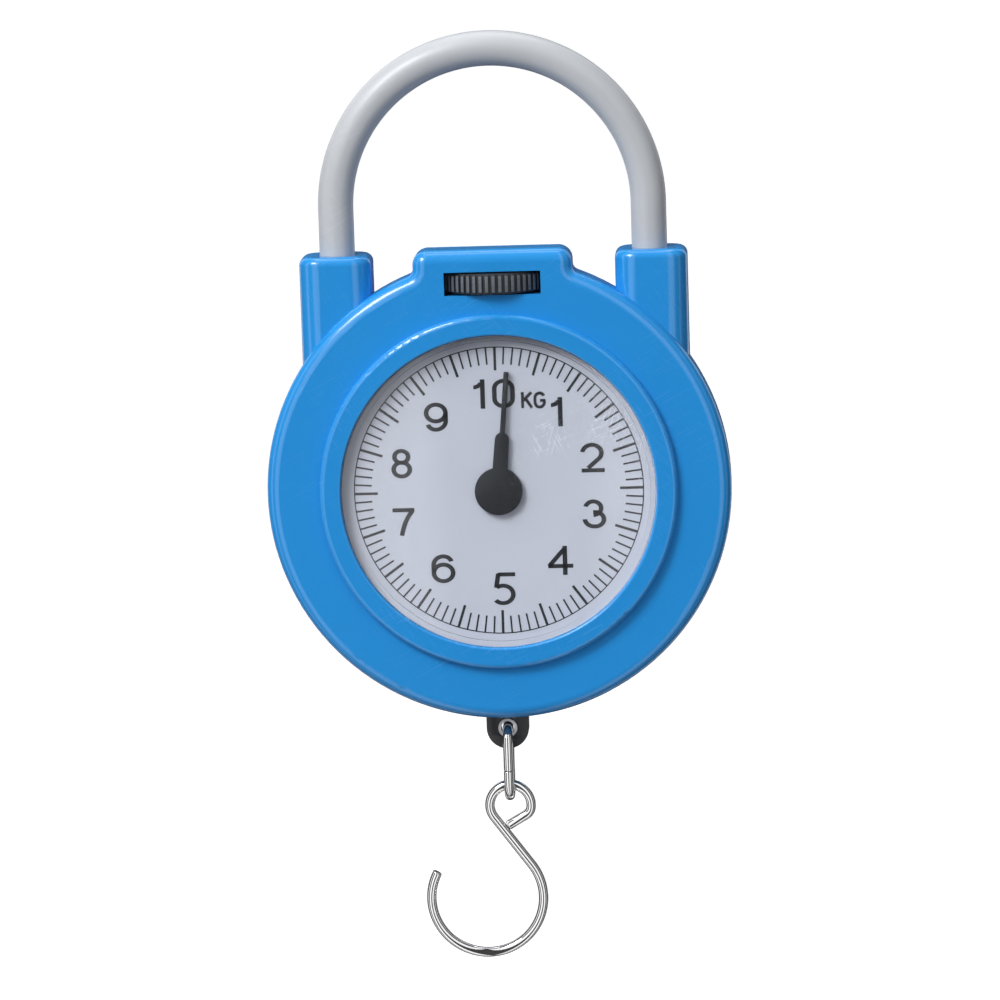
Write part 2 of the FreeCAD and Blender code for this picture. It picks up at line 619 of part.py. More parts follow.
def movement_screws():
    """The four small screws that hold the movement plate."""
    seat = EAR_Y + PLATE_THICK
    return Part.makeCompound([screw(*ear_place(angle), seat, SMALL_HEAD_R, SMALL_HEAD,
                                    SMALL_SHANK_R, EAR_Y - SMALL_BITE)
                              for angle in EAR_ANGLES])


def front_bush():
    """Flanged bush in the movement plate; its nose fills the dial's hole."""
    nose = rod_y(BUSH_R, 0, 0, DIAL_Y + LENS_CLEARANCE, PLATE_BACK)
    flange = rod_y(BUSH_FLANGE_R, 0, 0, PLATE_BACK, PLATE_BACK + BUSH_FLANGE)
    return nose.fuse(flange).cut(rod_y(SHAFT_R + SHAFT_FIT, 0, 0, FRONT_Y, 0))


def rear_bush():
    """Plain bush in the back shell's post."""
    return ring_y(BUSH_R, SHAFT_R + SHAFT_FIT, REAR_BUSH_Y, REAR_BUSH_Y + REAR_BUSH_LENGTH)


def turned_to_rest(shape):
    """The pointer's own pieces, turned to where the pointer stands at rest."""
    shape.rotate(V(0, 0, 0), V(0, 1, 0), POINTER_REST)
    return shape


def pointer():
    """Hub, tapered stem with a round end, and a square-ended needle."""
    hub = rod_y(HUB_R, 0, 0, POINTER_FRONT, POINTER_BACK + HUB_DROP)
    stem_end = STEM_LENGTH - STEM_TIP_HALF
    stem = flat([(-STEM_HALF, 0), (-STEM_TIP_HALF, stem_end), (STEM_TIP_HALF, stem_end),
                 (STEM_HALF, 0)], POINTER_FRONT).extrude(V(0, POINTER_THICK, 0))
    tip = rod_y(STEM_TIP_HALF, 0, stem_end, POINTER_FRONT, POINTER_BACK)
    needle = box(-NEEDLE_HALF, NEEDLE_HALF, POINTER_FRONT, POINTER_BACK, 0, NEEDLE_LENGTH)
    blade = hub.fuse([stem, tip, needle]).removeSplitter()
    blade = blade.cut(rod_y(SHAFT_R, 0, 0, POINTER_FRONT + HUB_SKIN, 0))
    return turned_to_rest(blade)


def pointer_shaft():
    """Steel shaft from the pointer's hub to the rear bush."""
    end = REAR_BUSH_Y + REAR_BUSH_LENGTH - END_PLAY
    return rod_y(SHAFT_R, 0, 0, POINTER_FRONT + HUB_SKIN, end)


def involute_point(angle, turn):
    """A point of the pinion's flank, unrolled by angle and turned by turn."""
    base = PITCH_R * math.cos(math.radians(PRESSURE_ANGLE))
    x = base * (math.cos(angle) + angle * math.sin(angle))
    z = base * (math.sin(angle) - angle * math.cos(angle))
    return (x * math.cos(turn) - z * math.sin(turn), x * math.sin(turn) + z * math.cos(turn))


def pinion():
    """Involute teeth between two collars, pressed on the shaft."""
    pressure = math.radians(PRESSURE_ANGLE)
    base = PITCH_R * math.cos(pressure)
    root = PITCH_R - DEDENDUM
    outer = PITCH_R + MODULE
    half_tooth = math.pi / (2 * PINION_TEETH) - BACKLASH / 4 / PITCH_R
    flank_turn = half_tooth + math.tan(pressure) - pressure
    last = math.sqrt((outer / base) ** 2 - 1)
    outline = []
    for tooth in range(PINION_TEETH):
        middle = 2 * math.pi * (tooth + 0.5) / PINION_TEETH
        flank = [involute_point(last * i / FLANK_STEPS, -flank_turn)
                 for i in range(FLANK_STEPS + 1)]
        foot = (root * math.cos(flank_turn), -root * math.sin(flank_turn))
        half = [foot] + flank
        whole = half + [(x, -z) for x, z in reversed(half)]
        outline += [(x * math.cos(middle) - z * math.sin(middle),
                     x * math.sin(middle) + z * math.cos(middle)) for x, z in whole]
    half_face = BAR_THICK / 2
    teeth = flat(outline, LOAD_Y - half_face).extrude(V(0, BAR_THICK, 0))
    front = PLATE_BACK + BUSH_FLANGE + END_PLAY
    back = REAR_BUSH_Y - END_PLAY
    gear = teeth.fuse(rod_y(COLLAR_R, 0, 0, front, back))
    gear = gear.cut(rod_y(SHAFT_R, 0, 0, front - 1, back + 1))
    return gear


# ---------------------------------------------------------------- load path
def rack_tooth(number):
    """One tooth of the rack, pointing at the pinion."""
    slope = math.tan(math.radians(PRESSURE_ANGLE))
    middle = number * RACK_PITCH
    half = RACK_PITCH / 4 - BACKLASH / 4
    tip = half - RACK_ADDENDUM * slope
    root = half + DEDENDUM * slope
    tip_x = PITCH_LINE - RACK_ADDENDUM
    return flat([(tip_x, middle - tip), (tip_x, middle + tip), (RACK_ROOT_X, middle + root),
                 (RACK_ROOT_X, middle - root)], LOAD_Y - BAR_THICK / 2).extrude(
                     V(0, BAR_THICK, 0))


def load_bar():
    """Fork with the rack in it, a crosspiece for the springs, and the tab below."""
    y0 = LOAD_Y - BAR_THICK / 2
    y1 = LOAD_Y + BAR_THICK / 2
    free_x = PITCH_R + MODULE + 2 * BODY_GAP
    right = box(RACK_ROOT_X, BAR_HALF, y0, y1, CROSS_TOP, BAR_TOP)
    left = box(-BAR_HALF, -free_x, y0, y1, CROSS_TOP, BAR_TOP)
    foot = box(-BAR_HALF, BAR_HALF, y0, y1, CROSS_TOP, FORK_FLOOR)
    cross = box(-CROSS_HALF, CROSS_HALF, y0, y1, CROSS_BOTTOM, CROSS_TOP)
    cross = round_edges(cross, CROSS_CORNER, lambda e: e.BoundBox.YLength > 1)
    t0 = LOAD_Y - TAB_THICK / 2
    t1 = LOAD_Y + TAB_THICK / 2
    tab = box(-TAB_HALF, TAB_HALF, t0, t1, TAB_HOLE_Z, CROSS_BOTTOM)
    tab_end = rod_y(TAB_HALF, 0, TAB_HOLE_Z, t0, t1)
    teeth = [rack_tooth(n) for n in range(RACK_LOW, RACK_HIGH + 1)]
    bar = right.fuse([left, foot, cross, tab, tab_end] + teeth).removeSplitter()
    holes = [rod_y(EYELET_BARREL_R, 0, TAB_HOLE_Z, t0 - 1, t1 + 1)]
    holes += both_sides(lambda side: rod_y(SPRING_HOLE_R, side * (SPRING_X - SPRING_BEND),
                                           BAR_HOLE_Z, y0 - 1, y1 + 1))
    return bar.cut(holes)


def tab_eyelet():
    """Thin metal eyelet in the tab's hole, flanged on both faces."""
    t0 = LOAD_Y - TAB_THICK / 2
    t1 = LOAD_Y + TAB_THICK / 2
    barrel = rod_y(EYELET_BARREL_R, 0, TAB_HOLE_Z, t0, t1)
    flanges = [rod_y(EYELET_R, 0, TAB_HOLE_Z, t0 - EYELET_FLANGE, t0),
               rod_y(EYELET_R, 0, TAB_HOLE_Z, t1, t1 + EYELET_FLANGE)]
    eyelet = barrel.fuse(flanges).removeSplitter()
    eyelet = eyelet.cut(rod_y(EYELET_BORE_R, 0, TAB_HOLE_Z, t0 - 1, t1 + 1))
    faces = (t0 - EYELET_FLANGE, t1 + EYELET_FLANGE)
    return round_edges(eyelet, EYELET_WALL * EYELET_ROUND,
                       lambda e: any(at_depth(y)(e) for y in faces)
                       and e.BoundBox.XMax < EYELET_BARREL_R)


def spring(side):
    """Close-wound spring with a raised hook at each end."""
    low = SPRING_LOW + SPRING_BEND
    high = SPRING_HIGH - SPRING_BEND
    pitch = (high - low) / SPRING_TURNS
    rise = math.atan2(pitch, 2 * math.pi * SPRING_R)
    coil = Part.makeHelix(pitch, high - low, SPRING_R)
    coil.rotate(V(0, 0, 0), V(0, 0, 1), -90)
    coil.translate(V(0, 0, low))

    def hook(way):
        """The end hook's path: way is 1 at the top and -1 at the bottom."""
        start = V(0, -SPRING_R, high if way > 0 else low)
        centre = start + V(-math.sin(rise), 0, math.cos(rise)) * SPRING_BEND * way
        middle_turn = (rise - math.pi / 2) / 2
        middle = centre + V(math.cos(middle_turn), 0, math.sin(middle_turn)) * SPRING_BEND * way
        end = centre + V(SPRING_BEND * way, 0, 0)
        top = end + V(0, SPRING_R, SPRING_R * way)
        far = end + V(0, 2 * SPRING_R, 0)
        return [Part.Arc(start, middle, end).toShape(), Part.Arc(end, top, far).toShape()]

    def reversed_arc(arc):
        """The same arc, drawn from its other end."""
        first, last = arc.FirstParameter, arc.LastParameter
        return Part.Arc(arc.valueAt(last), arc.valueAt((first + last) / 2),
                        arc.valueAt(first)).toShape()

    low_hook = [reversed_arc(arc) for arc in reversed(hook(-1))]
    coiled = wire_along(low_hook + coil.Edges + hook(1), SPRING_WIRE / 2)
    if side < 0:
        coiled.rotate(V(0, 0, 0), V(0, 0, 1), 180)
    coiled.translate(V(side * SPRING_X, LOAD_Y, 0))
    return coiled


def spring_yoke():
    """Crosspiece that both springs hang from, with a bore for the zero screw."""
    hole_x = SPRING_X + SPRING_BEND
    half = hole_x + SPRING_HOLE_R + YOKE_THICK / 2
    bar = box(-half, half, LOAD_Y - YOKE_THICK / 2, LOAD_Y + YOKE_THICK / 2, YOKE_BOTTOM,
              YOKE_TOP)
    bar = round_edges(bar, CROSS_CORNER, lambda e: e.BoundBox.YLength > 1)
    yoke = bar.fuse(rod_z(YOKE_BOSS_R, 0, LOAD_Y, YOKE_BOTTOM, YOKE_TOP))
    holes = [rod_z(SCREW_R, 0, LOAD_Y, YOKE_BOTTOM - 1, YOKE_TOP + 1)]
    holes += both_sides(lambda side: rod_y(SPRING_HOLE_R, side * hole_x, YOKE_HOLE_Z,
                                           LOAD_Y - YOKE_THICK, LOAD_Y + YOKE_THICK))
    return yoke.cut(holes)


def zero_screw():
    """Hexagon-headed screw, up through the yoke and into the zero wheel."""
    corner = SCREW_HEAD_FLATS / math.sqrt(3)
    turns = [math.radians(60 * i) for i in range(6)]
    corners = [V(corner * math.cos(a), LOAD_Y + corner * math.sin(a), YOKE_BOTTOM)
               for a in turns]
    head = Part.Face(Part.makePolygon(corners + corners[:1])).extrude(
        V(0, 0, -SCREW_HEAD_THICK))
    shank = rod_z(SCREW_R, 0, LOAD_Y, YOKE_BOTTOM, SCREW_TOP)
    shank = shank.makeChamfer(SCREW_R * SCREW_END_CHAMFER,
                              [e for e in shank.Edges
                               if abs(e.BoundBox.ZMin - SCREW_TOP) < 1e-4])
    return head.fuse(shank)


def wheel_washer():
    """Steel washer between the shelf and the zero wheel."""
    return rod_z(WASHER_R, 0, LOAD_Y, SHELF_TOP, SHELF_TOP + WASHER_THICK).cut(
        rod_z(SCREW_R + BODY_GAP, 0, LOAD_Y, SHELF_TOP - 1, WHEEL_BOTTOM))


def zero_wheel():
    """Ribbed thumb wheel with chamfered rims."""
    valley = WHEEL_R - WHEEL_RIDGE_DEPTH
    step = math.pi / WHEEL_RIDGES
    corners = []
    for ridge in range(WHEEL_RIDGES):
        middle = 2 * step * ridge
        for radius, turn in ((valley, -1.0), (WHEEL_R, -WHEEL_RIDGE_SHARE),
                             (WHEEL_R, WHEEL_RIDGE_SHARE)):
            a = middle + turn * step
            corners.append(V(radius * math.cos(a), radius * math.sin(a), 0))
    ribbed = Part.Face(Part.makePolygon(corners + corners[:1])).extrude(V(0, 0, WHEEL_HEIGHT))
    rims = Part.makeCylinder(WHEEL_R, WHEEL_HEIGHT)
    rims = rims.makeChamfer(WHEEL_CHAMFER, [e for e in rims.Edges if e.BoundBox.ZLength < 1e-4])
    wheel = ribbed.common(rims)
    wheel = wheel.cut(Part.makeCylinder(SCREW_R + THREAD_CLEARANCE, 3 * WHEEL_HEIGHT,
                                        V(0, 0, -WHEEL_HEIGHT)))
    wheel.translate(V(0, LOAD_Y, WHEEL_BOTTOM))
    return wheel


# ---------------------------------------------------------------- link and hook
def round_ends(shape, radius, ends):
    """Breaks the sharp edge of cut wire at the points given."""
    def cut_edge(e):
        return any(e.BoundBox.Center.distanceToPoint(p) < radius * 0.2
                   and e.BoundBox.DiagonalLength < 3 * radius for p in ends)
    return round_edges(shape, radius * WIRE_END_ROUND, cut_edge)


def link():
    """Oval split ring, edge-on to the dial, cut through its front leg."""
    y_front = LOAD_Y - LINK_BEND_R
    y_back = LOAD_Y + LINK_BEND_R
    above = V(0, y_front, LINK_SPLIT_Z + LINK_SPLIT / 2)
    below = V(0, y_front, LINK_SPLIT_Z - LINK_SPLIT / 2)
    path = [line(above, V(0, y_front, LINK_TOP)),
            Part.Arc(V(0, y_front, LINK_TOP), V(0, LOAD_Y, LINK_TOP + LINK_BEND_R),
                     V(0, y_back, LINK_TOP)).toShape(),
            line(V(0, y_back, LINK_TOP), V(0, y_back, LINK_BOTTOM)),
            Part.Arc(V(0, y_back, LINK_BOTTOM), V(0, LOAD_Y, LINK_BOTTOM - LINK_BEND_R),
                     V(0, y_front, LINK_BOTTOM)).toShape(),
            line(V(0, y_front, LINK_BOTTOM), below)]
    return round_ends(wire_along(path, LINK_WIRE_R), LINK_WIRE_R, [above, below])


def s_hook():
    """Eye with a straight tail, a slanting shank and the open bend for the load."""
    centre_gap = math.hypot(BIG_BEND_X, BIG_BEND_Z - EYE_Z)
    lean = math.atan2(-BIG_BEND_X, EYE_Z - BIG_BEND_Z)
    cross = math.asin((HOOK_EYE_R + BIG_BEND_R) / centre_gap)
    slope = cross - lean
    down = V(math.sin(slope), 0, -math.cos(slope))
    side = V(math.cos(slope), 0, math.sin(slope))
    eye = V(0, LOAD_Y, EYE_Z)
    big = V(BIG_BEND_X, LOAD_Y, BIG_BEND_Z)
    shank_top = eye - side * HOOK_EYE_R
    shank_end = big + side * BIG_BEND_R
    start = math.radians(TAIL_BEND_START)
    bend = eye + V(math.cos(start), 0, math.sin(start)) * (HOOK_EYE_R - TAIL_BEND_R)
    slope_angle = math.radians(TAIL_SLOPE - 90)
    bend_end = bend + V(math.cos(slope_angle), 0, math.sin(slope_angle)) * TAIL_BEND_R
    tail = V(-math.cos(math.radians(TAIL_SLOPE)), 0, -math.sin(math.radians(TAIL_SLOPE)))
    reach = (bend_end - shank_top).dot(side) - HOOK_WIRE_R - TAIL_GAP
    tail_end = bend_end + tail * (reach / abs(tail.dot(side)))
    path = [line(tail_end, bend_end),
            arc_about(bend.x, bend.z, TAIL_BEND_R, TAIL_SLOPE - 90, TAIL_BEND_START, LOAD_Y),
            arc_about(0, EYE_Z, HOOK_EYE_R, TAIL_BEND_START, 180 + math.degrees(slope), LOAD_Y),
            line(shank_top, shank_end),
            arc_about(big.x, big.z, BIG_BEND_R, math.degrees(slope), TIP_ANGLE - 360, LOAD_Y)]
    tip = math.radians(TIP_ANGLE)
    tip_end = big + V(math.cos(tip), 0, math.sin(tip)) * BIG_BEND_R
    return round_ends(wire_along(path, HOOK_WIRE_R), HOOK_WIRE_R, [tail_end, tip_end])


# ---------------------------------------------------------------- output
PIECES = {
    "front_shell": front_shell,
    "back_shell": back_shell,
    "case_screws": case_screws,
    "handle": handle,
    "handle_screws": handle_screws,
    "lens": lens,
    "dial_plate": dial_plate,
    "movement_plate": movement_plate,
    "movement_screws": movement_screws,
    "front_bush": front_bush,
    "rear_bush": rear_bush,
    "pointer": pointer,
    "pointer_shaft": pointer_shaft,
    "pinion": pinion,
    "load_bar": load_bar,
    "tab_eyelet": tab_eyelet,
    "spring_left": lambda: spring(-1),
    "spring_right": lambda: spring(1),
    "spring_yoke": spring_yoke,
    "zero_screw": zero_screw,
    "wheel_washer": wheel_washer,
    "zero_wheel": zero_wheel,
    "link": link,
    "s_hook": s_hook,
}


def main():
    """Builds every piece and writes it to parts/."""
    os.makedirs("parts", exist_ok=True)
    for name, make in PIECES.items():
        shape = make()
        if not shape.isValid() or not shape.Solids:
            raise RuntimeError(name + " isn't a valid solid")
        shape.exportStep("parts/" + name + ".step")
        print(name, len(shape.Solids), "solid(s),", round(shape.Volume / 1000, 3), "cm3")


main()
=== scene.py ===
"""Looks of the hanging spring scale, around its CAD frame. Every size is in metres.

CAD nodes whose shape is right keep their meshes and get their finish here. The lens, the
handle, the link and hook, the springs, the thumb wheel, the pointer, the load bar and the
print on the dial are modelled here, and each but the springs rides on the CAD body that
it belongs to.
"""
import logging
import math
from collections.abc import Callable, Sequence
from dataclasses import dataclass
from enum import Enum

import bmesh
import bpy
from mathutils import Matrix, Vector


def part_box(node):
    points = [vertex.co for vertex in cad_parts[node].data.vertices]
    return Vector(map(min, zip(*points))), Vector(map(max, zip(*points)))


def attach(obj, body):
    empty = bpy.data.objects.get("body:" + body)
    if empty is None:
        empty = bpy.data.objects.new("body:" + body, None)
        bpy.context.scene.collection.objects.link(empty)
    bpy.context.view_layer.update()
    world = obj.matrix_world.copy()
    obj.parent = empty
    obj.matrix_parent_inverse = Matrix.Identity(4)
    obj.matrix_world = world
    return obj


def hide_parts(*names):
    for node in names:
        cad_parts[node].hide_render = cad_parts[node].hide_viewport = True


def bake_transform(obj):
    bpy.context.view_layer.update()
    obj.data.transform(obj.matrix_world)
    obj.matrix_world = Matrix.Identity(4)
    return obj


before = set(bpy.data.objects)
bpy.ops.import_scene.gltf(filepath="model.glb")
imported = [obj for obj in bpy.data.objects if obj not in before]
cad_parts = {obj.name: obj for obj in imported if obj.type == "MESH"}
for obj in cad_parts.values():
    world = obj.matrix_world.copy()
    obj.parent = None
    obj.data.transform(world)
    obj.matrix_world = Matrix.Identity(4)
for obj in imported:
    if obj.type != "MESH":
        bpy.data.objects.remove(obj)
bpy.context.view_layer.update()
MM = 0.001
MERGE = 0.002 * MM
FINE_MERGE = 0.0005 * MM
UPRIGHT = Vector((0, 0, 1))
ACROSS = Vector((1, 0, 0))
INWARD = Vector((0, 1, 0))
log = logging.getLogger("spring_scale")

Colour = tuple[float, float, float]
Number = "float | Value"
Piece = bpy.types.Object


# --- materials: the nodes
def formula(operation: str, swapped: bool = False) -> Callable[..., "Value"]:
    """A method of Value that adds one Math node.

    Args:
        operation: the node's operation.
        swapped: true for a reflected form, where the other number comes first.

    Returns:
        The method.
    """
    def method(self: "Value", other: Number = 0.0) -> "Value":
        """Adds the node and stands for its result."""
        first, second = (other, self) if swapped else (self, other)
        return self.recipe.node("ShaderNodeMath", {"operation": operation},
                                {0: first, 1: second})
    return method


class Value:
    """A number somewhere in a material, added and multiplied as in a formula."""

    __add__ = __radd__ = formula("ADD")
    __sub__ = formula("SUBTRACT")
    __rsub__ = formula("SUBTRACT", swapped=True)
    __mul__ = __rmul__ = formula("MULTIPLY")
    __truediv__ = formula("DIVIDE")
    __rtruediv__ = formula("DIVIDE", swapped=True)
    __pow__ = formula("POWER")
    __rpow__ = formula("POWER", swapped=True)
    __abs__ = formula("ABSOLUTE")

    def __init__(self, recipe: "NodeTree", socket: bpy.types.NodeSocket) -> None:
        """Keeps the recipe that the socket belongs to."""
        self.recipe = recipe
        self.socket = socket

    def sibling(self, output: int) -> "Value":
        """Another output of the same node."""
        return Value(self.recipe, self.socket.node.outputs[output])

    def above(self, level: float, width: float) -> "Value":
        """0 below level, rising to 1 over width."""
        return self.recipe.node("ShaderNodeMapRange", {"clamp": True},
                                {"Value": self, "From Min": level, "From Max": level + width})


class NodeTree:
    """A tree of nodes, of a material or of the world."""

    def __init__(self, tree: bpy.types.NodeTree) -> None:
        """Empties the tree."""
        self.tree = tree
        self.tree.nodes.clear()

    def node(self, kind: str, settings: dict[str, object], inputs: dict[object, object],
             output: int | str = 0) -> Value:
        """Adds a node.

        Args:
            kind: the node's type name.
            settings: its settings, set first.
            inputs: values or links for its sockets, by name or number.
            output: which output the result stands for.

        Returns:
            The output, ready for a formula or another node.
        """
        made = self.tree.nodes.new(kind)
        for key, setting in settings.items():
            setattr(made, key, setting)
        for key, value in inputs.items():
            self.feed(made.inputs[key], value)
        return Value(self, made.outputs[output])

    def feed(self, socket: bpy.types.NodeSocket, value: object) -> None:
        """Links a Value to a socket, or sets a plain number, vector or colour on it."""
        if isinstance(value, Value):
            self.tree.links.new(value.socket, socket)
        elif isinstance(value, tuple) and len(value) == 3 and socket.type == "RGBA":
            socket.default_value = (*value, 1.0)
        else:
            socket.default_value = value


class Recipe(NodeTree):
    """One material: its Principled node and whatever feeds it."""

    def __init__(self, name: str) -> None:
        """Starts a material with an output and a Principled node."""
        self.material = bpy.data.materials.new(name)
        self.material.use_nodes = True
        super().__init__(self.material.node_tree)
        self.output = self.tree.nodes.new("ShaderNodeOutputMaterial")
        self.shader = self.tree.nodes.new("ShaderNodeBsdfPrincipled")
        self.tree.links.new(self.shader.outputs[0], self.output.inputs[0])

    def place(self, stretch: tuple[float, float, float] = (1.0, 1.0, 1.0),
              turn: tuple[float, float, float] = (0.0, 0.0, 0.0),
              shift: tuple[float, float, float] = (0.0, 0.0, 0.0)) -> Value:
        """Object coordinates, stretched, turned and shifted."""
        where = self.node("ShaderNodeTexCoord", {}, {}, "Object")
        if turn != (0.0, 0.0, 0.0):
            where = self.node("ShaderNodeMapping", {},
                              {"Vector": where, "Rotation": turn, "Location": shift})
            shift = (0.0, 0.0, 0.0)
        return self.node("ShaderNodeMapping", {},
                         {"Vector": where, "Scale": stretch, "Location": shift})

    def noise(self, size: float, detail: float = 3.0, roughness: float = 0.5,
              where: Value | None = None) -> Value:
        """Cloudy noise between 0 and 1, whose blotches are about size across."""
        return self.node("ShaderNodeTexNoise", {},
                         {"Vector": where or self.place(), "Scale": 1.0 / size,
                          "Detail": detail, "Roughness": roughness})

    def streaks(self, length: float, width: float, turn: float, share: float,
                seed: float) -> Value:
        """Fine straight scratches on a face that looks along Y.

        Args:
            length: about how long a scratch is.
            width: about how wide it is.
            turn: its slant from level, in radians.
            share: how much of the surface is scratched, from 0 to 1.
            seed: another number gives other places.
        """
        where = self.place((1.0 / length, 1.0 / length, 1.0 / width), (0.0, turn, 0.0),
                           (seed, seed * 0.7, seed * 1.3))
        lines = self.node("ShaderNodeTexNoise", {}, {"Vector": where, "Scale": 1.0,
                                                     "Detail": 1.0, "Roughness": 0.4})
        return lines.above(0.80 - 0.35 * share, 0.05)

    def tint(self, factor: Number, low: Colour | Value, high: Colour | Value) -> Value:
        """A colour between low and high."""
        return self.node("ShaderNodeMix", {"data_type": "RGBA"},
                         {"Factor": factor, 6: low, 7: high}, 2)

    def bump(self, height: Value, depth: float) -> Value:
        """A normal from a height between 0 and 1 that stands depth proud."""
        return self.node("ShaderNodeBump", {}, {"Height": height, "Distance": depth,
                                                "Strength": 1.0}, "Normal")

    def mixed(self, factor: Value, low: Value, high: Value) -> bpy.types.Material:
        """Ends the recipe with a mix of two shaders instead of the Principled node alone."""
        both = self.node("ShaderNodeMixShader", {}, {0: factor, 1: low, 2: high})
        self.tree.links.new(both.socket, self.output.inputs[0])
        return self.material

    def surface(self, **sockets: object) -> bpy.types.Material:
        """Sets the Principled node's sockets, named with _ for a space, and ends the recipe."""
        for key, value in sockets.items():
            self.feed(self.shader.inputs[key.replace("_", " ")], value)
        return self.material


def linear(red: int, green: int, blue: int) -> Colour:
    """A display colour, 0 to 255, as the linear colour a shader takes."""
    def one(level: int) -> float:
        """One channel."""
        share = level / 255
        return share / 12.92 if share <= 0.04045 else ((share + 0.055) / 1.055) ** 2.4
    return one(red), one(green), one(blue)


def shaded(colour: Colour, share: float) -> Colour:
    """A share of a colour's light."""
    return tuple(channel * share for channel in colour)


# --- materials: finishes
@dataclass(frozen=True)
class MouldedPlastic:
    """Injection-moulded plastic: faint flow clouds, a fine skin and handling scratches."""

    name: str
    colour: Colour
    cloud: float = 0.05          # how much the colour drifts
    roughness: float = 0.3
    skin: float = 0.6 * MM       # size of the skin's ripple
    skin_depth: float = 0.002 * MM
    scratches: float = 0.2
    wear: float = 0.1            # how much a scratch whitens the colour
    coat: float = 0.0

    def material(self) -> bpy.types.Material:
        """The finish as a material."""
        recipe = Recipe(self.name)
        flow = recipe.noise(14 * MM, 2.0)
        dark = shaded(self.colour, 1 - self.cloud)
        light = tuple(min(1.0, c * (1 + self.cloud) + 0.01 * self.cloud) for c in self.colour)
        colour = recipe.tint(flow, dark, light)
        long = recipe.streaks(9 * MM, 0.07 * MM, 0.5, self.scratches, 3.1)
        short = recipe.streaks(4 * MM, 0.05 * MM, -0.9, self.scratches, 7.7)
        level = recipe.streaks(6 * MM, 0.06 * MM, 2.2, self.scratches, 12.4)
        marks = (long + short + level) * recipe.noise(20 * MM, 1.0).above(0.42, 0.2)
        pale = tuple(c + (1 - c) * 0.5 for c in self.colour)
        wear_and_sheen = recipe.tint(marks * self.wear, colour, pale)
        ripple = recipe.noise(self.skin, 2.0, 0.6)
        rough = recipe.noise(5 * MM, 3.0) * 0.08 + (self.roughness - 0.04) + marks * 0.18
        height = ripple - marks * 0.6
        return recipe.surface(Base_Color=wear_and_sheen, Roughness=rough, IOR=1.52,
                              Coat_Weight=self.coat, Coat_Roughness=0.06,
                              Normal=recipe.bump(height, self.skin_depth))


@dataclass(frozen=True)
class RidgeSheenAndShade:
    """Black plastic with a painted grey highlight on its ridge crests and painted shade in its
    valleys.
    """

    name: str
    colour: Colour
    crest_sheen: Colour
    valley_shade: Colour
    axis_y: float
    crest: float
    depth: float

    def material(self) -> bpy.types.Material:
        """The finish as a material."""
        recipe = Recipe(self.name)
        where = recipe.node("ShaderNodeSeparateXYZ", {}, {"Vector": recipe.place()}, "X")
        y = where.sibling(1) - self.axis_y
        radius = (where * where + y * y) ** 0.5
        # painted highlight: the colour turns grey towards the ridge crests
        wear_and_sheen = radius.above(self.crest - 0.35 * self.depth, 0.3 * self.depth)
        wear_and_sheen = wear_and_sheen * (recipe.noise(0.5 * MM, 4.0, 0.7) * 0.9 + 0.2)
        # painted shade: the colour darkens towards the valley floors
        low = 1.0 - radius.above(self.crest - 1.1 * self.depth, 0.5 * self.depth)
        colour = recipe.tint(wear_and_sheen, recipe.tint(low * 0.7, self.colour, self.valley_shade), self.crest_sheen)
        return recipe.surface(Base_Color=colour, Roughness=0.5 - wear_and_sheen * 0.12,
                              Normal=recipe.bump(recipe.noise(0.15 * MM, 3.0), 0.01 * MM))


@dataclass(frozen=True)
class BrightPlate:
    """Chromed or polished wire: nearly a mirror, with drawing lines and haze in places."""

    name: str
    colour: Colour
    roughness: float = 0.05
    haze: float = 0.10

    def material(self) -> bpy.types.Material:
        """The finish as a material."""
        recipe = Recipe(self.name)
        haze = recipe.noise(3 * MM, 4.0, 0.6).above(0.45, 0.35)
        pits = recipe.noise(0.25 * MM, 2.0).above(0.66, 0.06)
        colour = recipe.tint(haze * 0.35 + pits * 0.4, self.colour,
                             shaded(self.colour, 0.72))
        return recipe.surface(Base_Color=colour, Metallic=1.0,
                              Roughness=haze * self.haze + pits * 0.2 + self.roughness,
                              Normal=recipe.bump(recipe.noise(0.5 * MM) - pits, 0.002 * MM))


@dataclass(frozen=True)
class WorkedMetal:
    """Pressed, turned or drawn metal, with its grain along one axis and some tarnish."""

    name: str
    colour: Colour
    grain: tuple[float, float, float] = (0.05 * MM, 4 * MM, 4 * MM)
    roughness: float = 0.32
    tarnish: float = 0.3

    def material(self) -> bpy.types.Material:
        """The finish as a material."""
        recipe = Recipe(self.name)
        grain = recipe.node("ShaderNodeTexNoise", {},
                            {"Vector": recipe.place(tuple(1 / g for g in self.grain)),
                             "Scale": 1.0, "Detail": 2.0})
        spots = recipe.noise(2.5 * MM, 5.0, 0.65).above(0.5, 0.3)
        colour = recipe.tint(spots * self.tarnish, self.colour,
                             shaded(self.colour, 0.55))
        return recipe.surface(Base_Color=colour, Metallic=1.0,
                              Roughness=grain * 0.15 + spots * 0.2 + self.roughness,
                              Normal=recipe.bump(grain, 0.004 * MM))


@dataclass(frozen=True)
class LacqueredDisc:
    """Pale lacquer on a thin disc, slightly mottled, with specks of dust."""

    name: str
    colour: Colour
    dust: Colour

    def material(self) -> bpy.types.Material:
        """The finish as a material."""
        recipe = Recipe(self.name)
        mottle = recipe.noise(9 * MM, 4.0, 0.6)
        specks = recipe.noise(0.22 * MM, 2.0).above(0.74, 0.04)
        colour = recipe.tint(mottle, shaded(self.colour, 0.975), self.colour)
        colour = recipe.tint(specks * 0.35, colour, self.dust)
        return recipe.surface(Base_Color=colour, Roughness=mottle * 0.1 + 0.42,
                              Normal=recipe.bump(recipe.noise(0.3 * MM), 0.0015 * MM))


